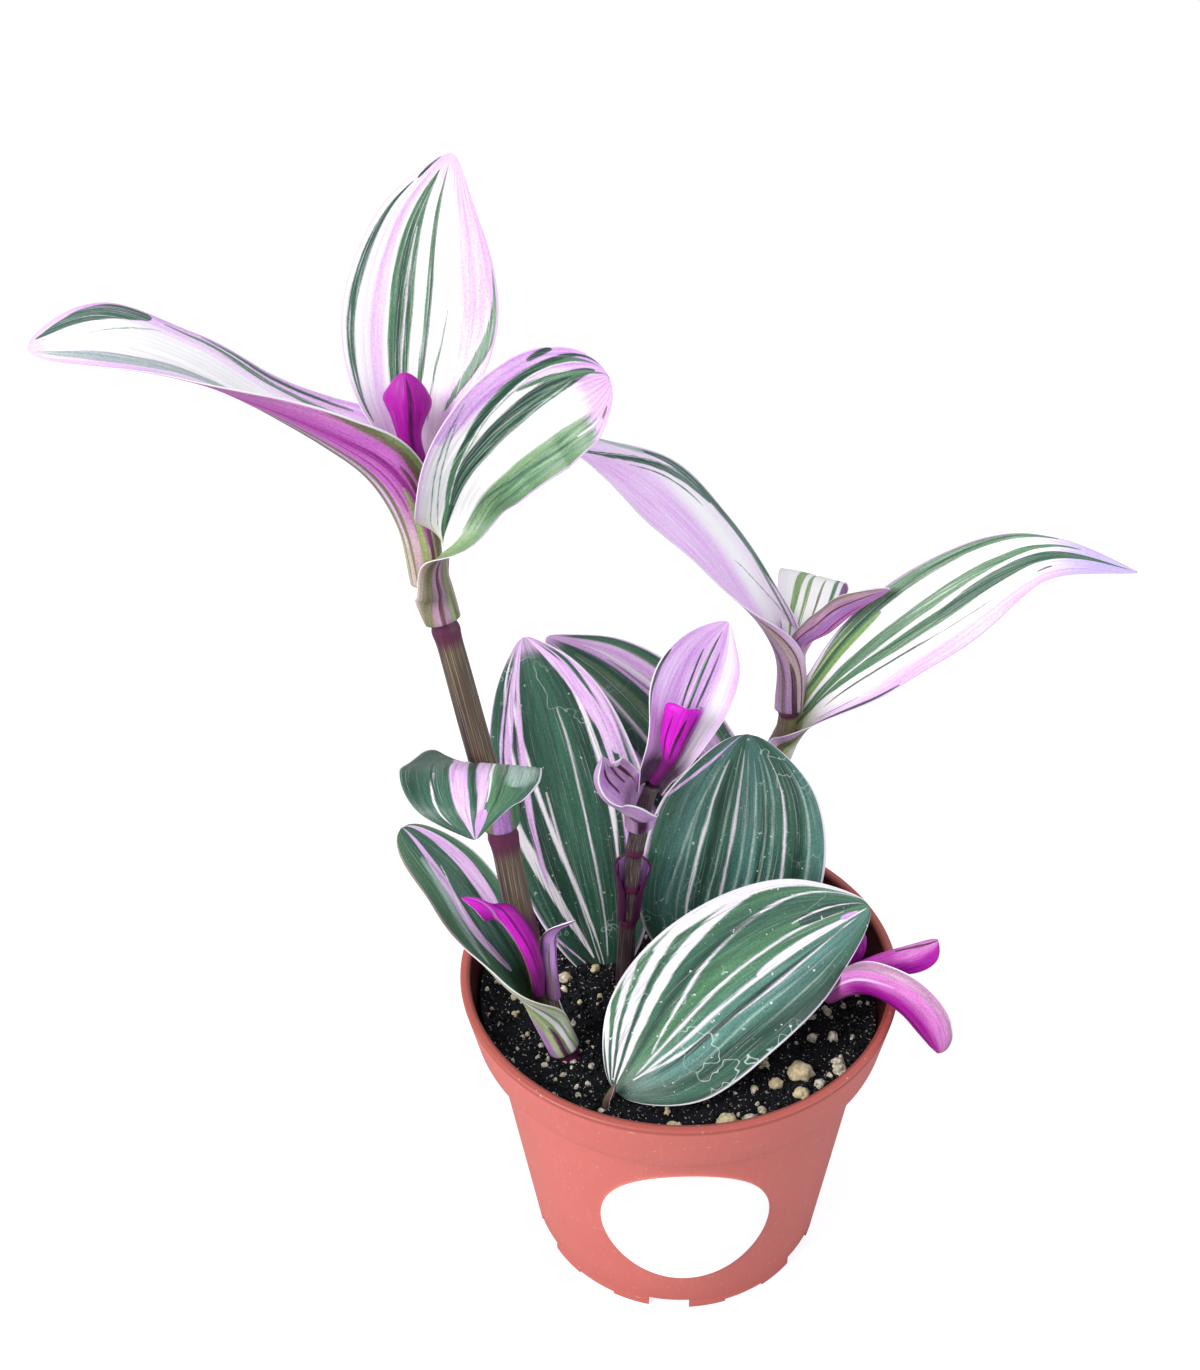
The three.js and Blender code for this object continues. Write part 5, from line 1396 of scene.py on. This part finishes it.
         ("pale", 0.76, 0.99, -0.22, -0.45, 0, 0.02), ("grey", 0.15, 0.85, 0.55, 0.5, 0, 0.01),
         ("grey", 0.2, 0.9, 0.74, 0.66, 0, 0.01), ("lilac", 0.9, 0.96, 0.02, 0, 0, 0.08),
         ("dark", 0.05, 0.8, 0.55, 0.9, 0, 0.12, 0.1), ("dark", 0.05, 0.7, -0.1, -0.55, 0, 0.05, 0.04),
         ("dark", 0.1, 0.9, 0.28, 0.26, 0.08, 0.03, 0.02)],
        ends=[("dark", 0.16, 0, 0.9)], vein="dark", marks=0.9, gloss=0.3,
    ), PURPLE_UNDER, wave=(0.25, 2, 0)),
    "leaf_a4": dress("leaf_green_striped", side(
        [(-1, "mid"), (-0.5, "green"), (0, "mid"), (0.5, "mid"), (0.9, "dark"), (1, "mid")],
        [("pink", -0.1, 0.5, 0.9, 0.2, -0.1, 0.2), ("pink", 0.3, 1.1, 0.2, 0.12, -0.02, 0.13),
         ("pink", 0.04, 1.1, 0.02, -0.24, -0.08, 0.085), ("white", 0.3, 0.8, -0.28, -0.34, 0, 0.02),
         ("dark", 0.14, 0.9, 0.1, -0.1, -0.05, 0.04), ("grey", 0.3, 0.7, -0.7, -0.7, 0, 0.2, 0.1),
         ("pale", 0.62, 0.9, 0.5, 0.66, 0, 0.02), ("lilac", 0.84, 1.05, -0.3, -0.3, 0, 0.2),
         ("dark", 0.2, 0.8, 0.6, 0.5, 0, 0.02), ("dark", 0.2, 0.9, -0.5, -0.5, 0, 0.02)],
        vein="dark",
    ), side(
        plain("mid", "green", "olive", "green", "mid"),
        [("pink", -0.2, 1, 0.5, 0.5, 0, 0.14), ("violet", -0.2, 0.5, -0.1, -0.1, 0, 0.2, 0.05),
         ("purple", -0.2, 0.4, -0.7, -0.7, 0, 0.15)],
        vein="purple",
    ), fine=0.8),
    "leaf_a5": dress("leaf_green_striped", side(
        [(-1, "brown"), (-0.94, "tan"), (-0.86, "green"), (-0.5, "green"), (-0.1, "mid"), (0.3, "mid"),
         (0.7, "mid"), (1, "green")],
        [("pink", 0.4, 1, 0.02, 0.2, -0.3, 0.11), ("pink", 0.55, 1.02, 0.5, 0.7, 0, 0.16),
         ("pale", 0.42, 0.84, -0.05, 0.1, -0.24, 0.02), ("grey", 0.5, 0.9, -0.55, -0.2, 0, 0.1, 0.08),
         ("dark", 0.4, 0.8, 0.3, 0.35, 0, 0.05)],
        ends=[("lime", 0.42, 0.2, 0.5)], vein="dark",
    ), side(
        plain("lime", "pale", "lime", "pale", "pale", "pale", "lime"),
        [("leaf", -0.2, 0.5, 0.75, 0.7, 0, 0.05), ("leaf", -0.2, 0.5, -0.6, -0.5, 0, 0.05),
         ("leaf", -0.2, 0.5, 0.2, 0.1, 0, 0.02), ("leaf", -0.2, 0.5, -0.8, -0.7, 0, 0.03),
         ("purple", -0.3, 0.2, -0.5, -0.5, 0, 0.08, 0.05),
         ("violet", -0.3, 0.26, -0.2, -0.2, 0, 0.12, 0.08),
         ("purple", -0.3, 0.22, -0.05, -0.05, 0, 0.05, 0.04),
         ("violet", -0.3, 0.24, 0.2, 0.2, 0, 0.1, 0.06), ("purple", -0.3, 0.2, 0.45, 0.45, 0, 0.08, 0.05),
         ("purple", -0.3, 0.18, 0.85, 0.85, 0, 0.1, 0.05)],
        ends=[("green", 0.42, 0.6, 0.8)], vein="leaf",
    ), fine=0.9),
    "shoot_e1": dress("leaf_magenta", MAGENTA_UNDER, side(
        plain("deep", "magenta", "fuchsia", "magenta", "deep"),
        [("olive", 0, 0.5, 0.3, 0.2, 0, 0.1), ("deep", 0.2, 0.95, -0.3, -0.2, 0, 0.05),
         ("rose", 0.3, 0.95, 0.3, 0.2, 0, 0.08, 0.05)],
        ends=[("fuchsia", 0.6, 0.85, 0.7), ("purple", 0.45, 0.15, 0.8)], vein="deep",
    ), fine=0.6, wave=(0, 1, 0)),
    "shoot_e2": dress("leaf_magenta", PURPLE_UNDER, side(
        plain("purple", "violet", "lilac", "violet", "purple"),
        [("olive", 0, 0.5, 0.3, 0.2, 0, 0.06), ("purple", 0, 0.95, -0.3, -0.2, 0, 0.06)],
        ends=[("purple", 0.3, 0.1, 0.7)], vein="purple",
    ), fine=0.5, wave=(0, 1, 0)),
    "leaf_c6": dress("leaf_magenta", side(
        plain("mauve", "olive", "pink", "lilac", "pink", "pink"),
        [("purple", 0.4, 0.95, 0.3, 0.4, 0, 0.04), ("purple", 0.4, 0.95, 0.6, 0.6, 0, 0.03),
         ("brown", 0.3, 0.9, 0.8, 0.75, 0, 0.04)],
        margin="white", vein="brown",
    ), side(
        plain("lilac", "pink", "mauve", "pink", "pale"),
        [("purple", -0.2, 0.5, 0.3, 0.3, 0, 0.2, 0.1), ("purple", -0.2, 0.4, -0.5, -0.5, 0, 0.15, 0.1),
         ("mid", 0.4, 0.95, 0.45, 0.4, 0, 0.06), ("mid", 0.4, 0.9, -0.3, -0.3, 0, 0.05),
         ("pink", 0.3, 1, 0, 0, 0, 0.1)],
        margin="white", vein="purple",
    ), fine=0.8, wave=(0, 1, 0)),
    "leaf_c5": dress("leaf_pink_striped", side(
        plain("lilac", "pink", "lilac", "pink", "lilac", "pale", "pink"),
        [("dark", 0.55, 0.84, 0.3, 0.3, 0, 0.028), ("dark", 0.52, 0.95, 0.15, 0.02, 0, 0.04),
         ("grey", 0.56, 0.86, 0.11, 0.03, 0, 0.01), ("dark", 0.52, 0.82, 0.02, -0.18, 0, 0.03),
         ("dark", 0.5, 0.76, -0.97, -0.95, 0, 0.06), ("deep", 0.1, 0.6, 0.5, 0.4, 0, 0.12, 0.1)],
        ends=[("purple", 0.42, 0.25, 0.8)], margin="pale", vein="violet",
    ), side(
        plain("magenta", "violet", "purple", "violet", "magenta"),
        [("purple", 0, 0.9, -0.5, -0.5, 0, 0.08), ("lilac", 0, 0.95, 0, 0, 0, 0.1),
         ("purple", 0, 0.95, 0.4, 0.3, 0, 0.08)],
        vein="purple",
    ), fine=0.8),
    "bud_c": dress("leaf_magenta", MAGENTA_UNDER, side(
        plain("deep", "magenta", "fuchsia", "fuchsia", "magenta"),
        [("purple", 0.4, 0.9, 0.1, -0.1, 0, 0.07), ("deep", 0.3, 0.95, -0.4, -0.5, 0, 0.1, 0.05),
         ("deep", 0.3, 0.9, 0.5, 0.4, 0, 0.05)],
        ends=[("fuchsia", 0.7, 0.9, 0.8), ("purple", 0.62, 0.3, 0.85)], vein="deep",
    ), fine=0.6, wave=(0, 1, 0)),
    "sheath_c": dress("leaf_magenta", PURPLE_UNDER, side(
        plain("purple", "brown", "purple", "brown", "purple"),
        [("black", 0, 0.9, -0.3, -0.3, 0, 0.06), ("black", 0, 0.9, 0.3, 0.3, 0, 0.06)],
        vein="purple", margin="purple",
    ), fine=0.5, wave=(0, 1, 0)),
    "leaf_d1": dress("leaf_magenta", side(
        plain("lilac", "lilac", "violet", "lilac", "lilac"),
        [("brown", 0.4, 1, 0.3, 0.2, 0, 0.08), ("purple", 0.3, 0.95, -0.4, -0.3, 0, 0.05)],
        margin="white", vein="purple",
    ), side(
        plain("rose", "magenta", "fuchsia", "magenta", "magenta", "rose", "mauve"),
        [("mauve", 0.1, 0.7, 0.84, 0.84, 0, 0.06), ("brown", 0.55, 1, -0.75, -0.6, 0, 0.16, 0.06),
         ("pink", 0.3, 0.98, -0.55, -0.5, 0, 0.05, 0.05), ("deep", 0.2, 0.95, 0.1, 0.1, 0, 0.05),
         ("pink", 0.05, 0.5, 0.45, 0.62, 0, 0.03, 0.03)],
        ends=[("rose", 0.3, 0.08, 0.6)], margin="white", vein="deep",
    ), fine=0.8, wave=(0.2, 2, 0)),
    "leaf_d2": dress("leaf_magenta", side(
        plain("lilac", "pink", "lilac", "pink", "lilac"),
        [("brown", 0.3, 1, -0.6, -0.6, 0, 0.04)],
        margin="white", vein="purple",
    ), side(
        plain("magenta", "magenta", "rose", "rose", "magenta", "magenta", "magenta"),
        [("brown", 0.5, 1, -0.1, -0.2, 0, 0.06), ("deep", 0.2, 0.95, 0.4, 0.4, 0, 0.05)],
        ends=[("magenta", 0.7, 0.4, 0.8)], margin="white", vein="deep",
    ), fine=0.7, wave=(0, 1, 0)),
    "leaf_d3": dress("leaf_magenta", MAGENTA_UNDER, MAGENTA_UNDER, fine=0.5),
    "bract": dress("dried_bract", side(
        plain("brown", "tan", "brown"),
        [],
        vein="purple", margin="tan",
    ), side(
        plain("brown", "olive", "brown"),
        [],
        vein="purple", margin="tan",
    ), fine=0.4),
}

# %% All the leaves
for seed, (name, leaf) in enumerate(LEAVES.items()):
    look = LOOKS[name]
    upper = leaf_finish(f"{name}_upper", look["upper"], seed)
    under = leaf_finish(f"{name}_under", look["under"], seed + 40)
    blade = leaf_piece(f"{name}_blade", leaf, look, [upper, under])
    hand_over(blade, look["slot"], name)
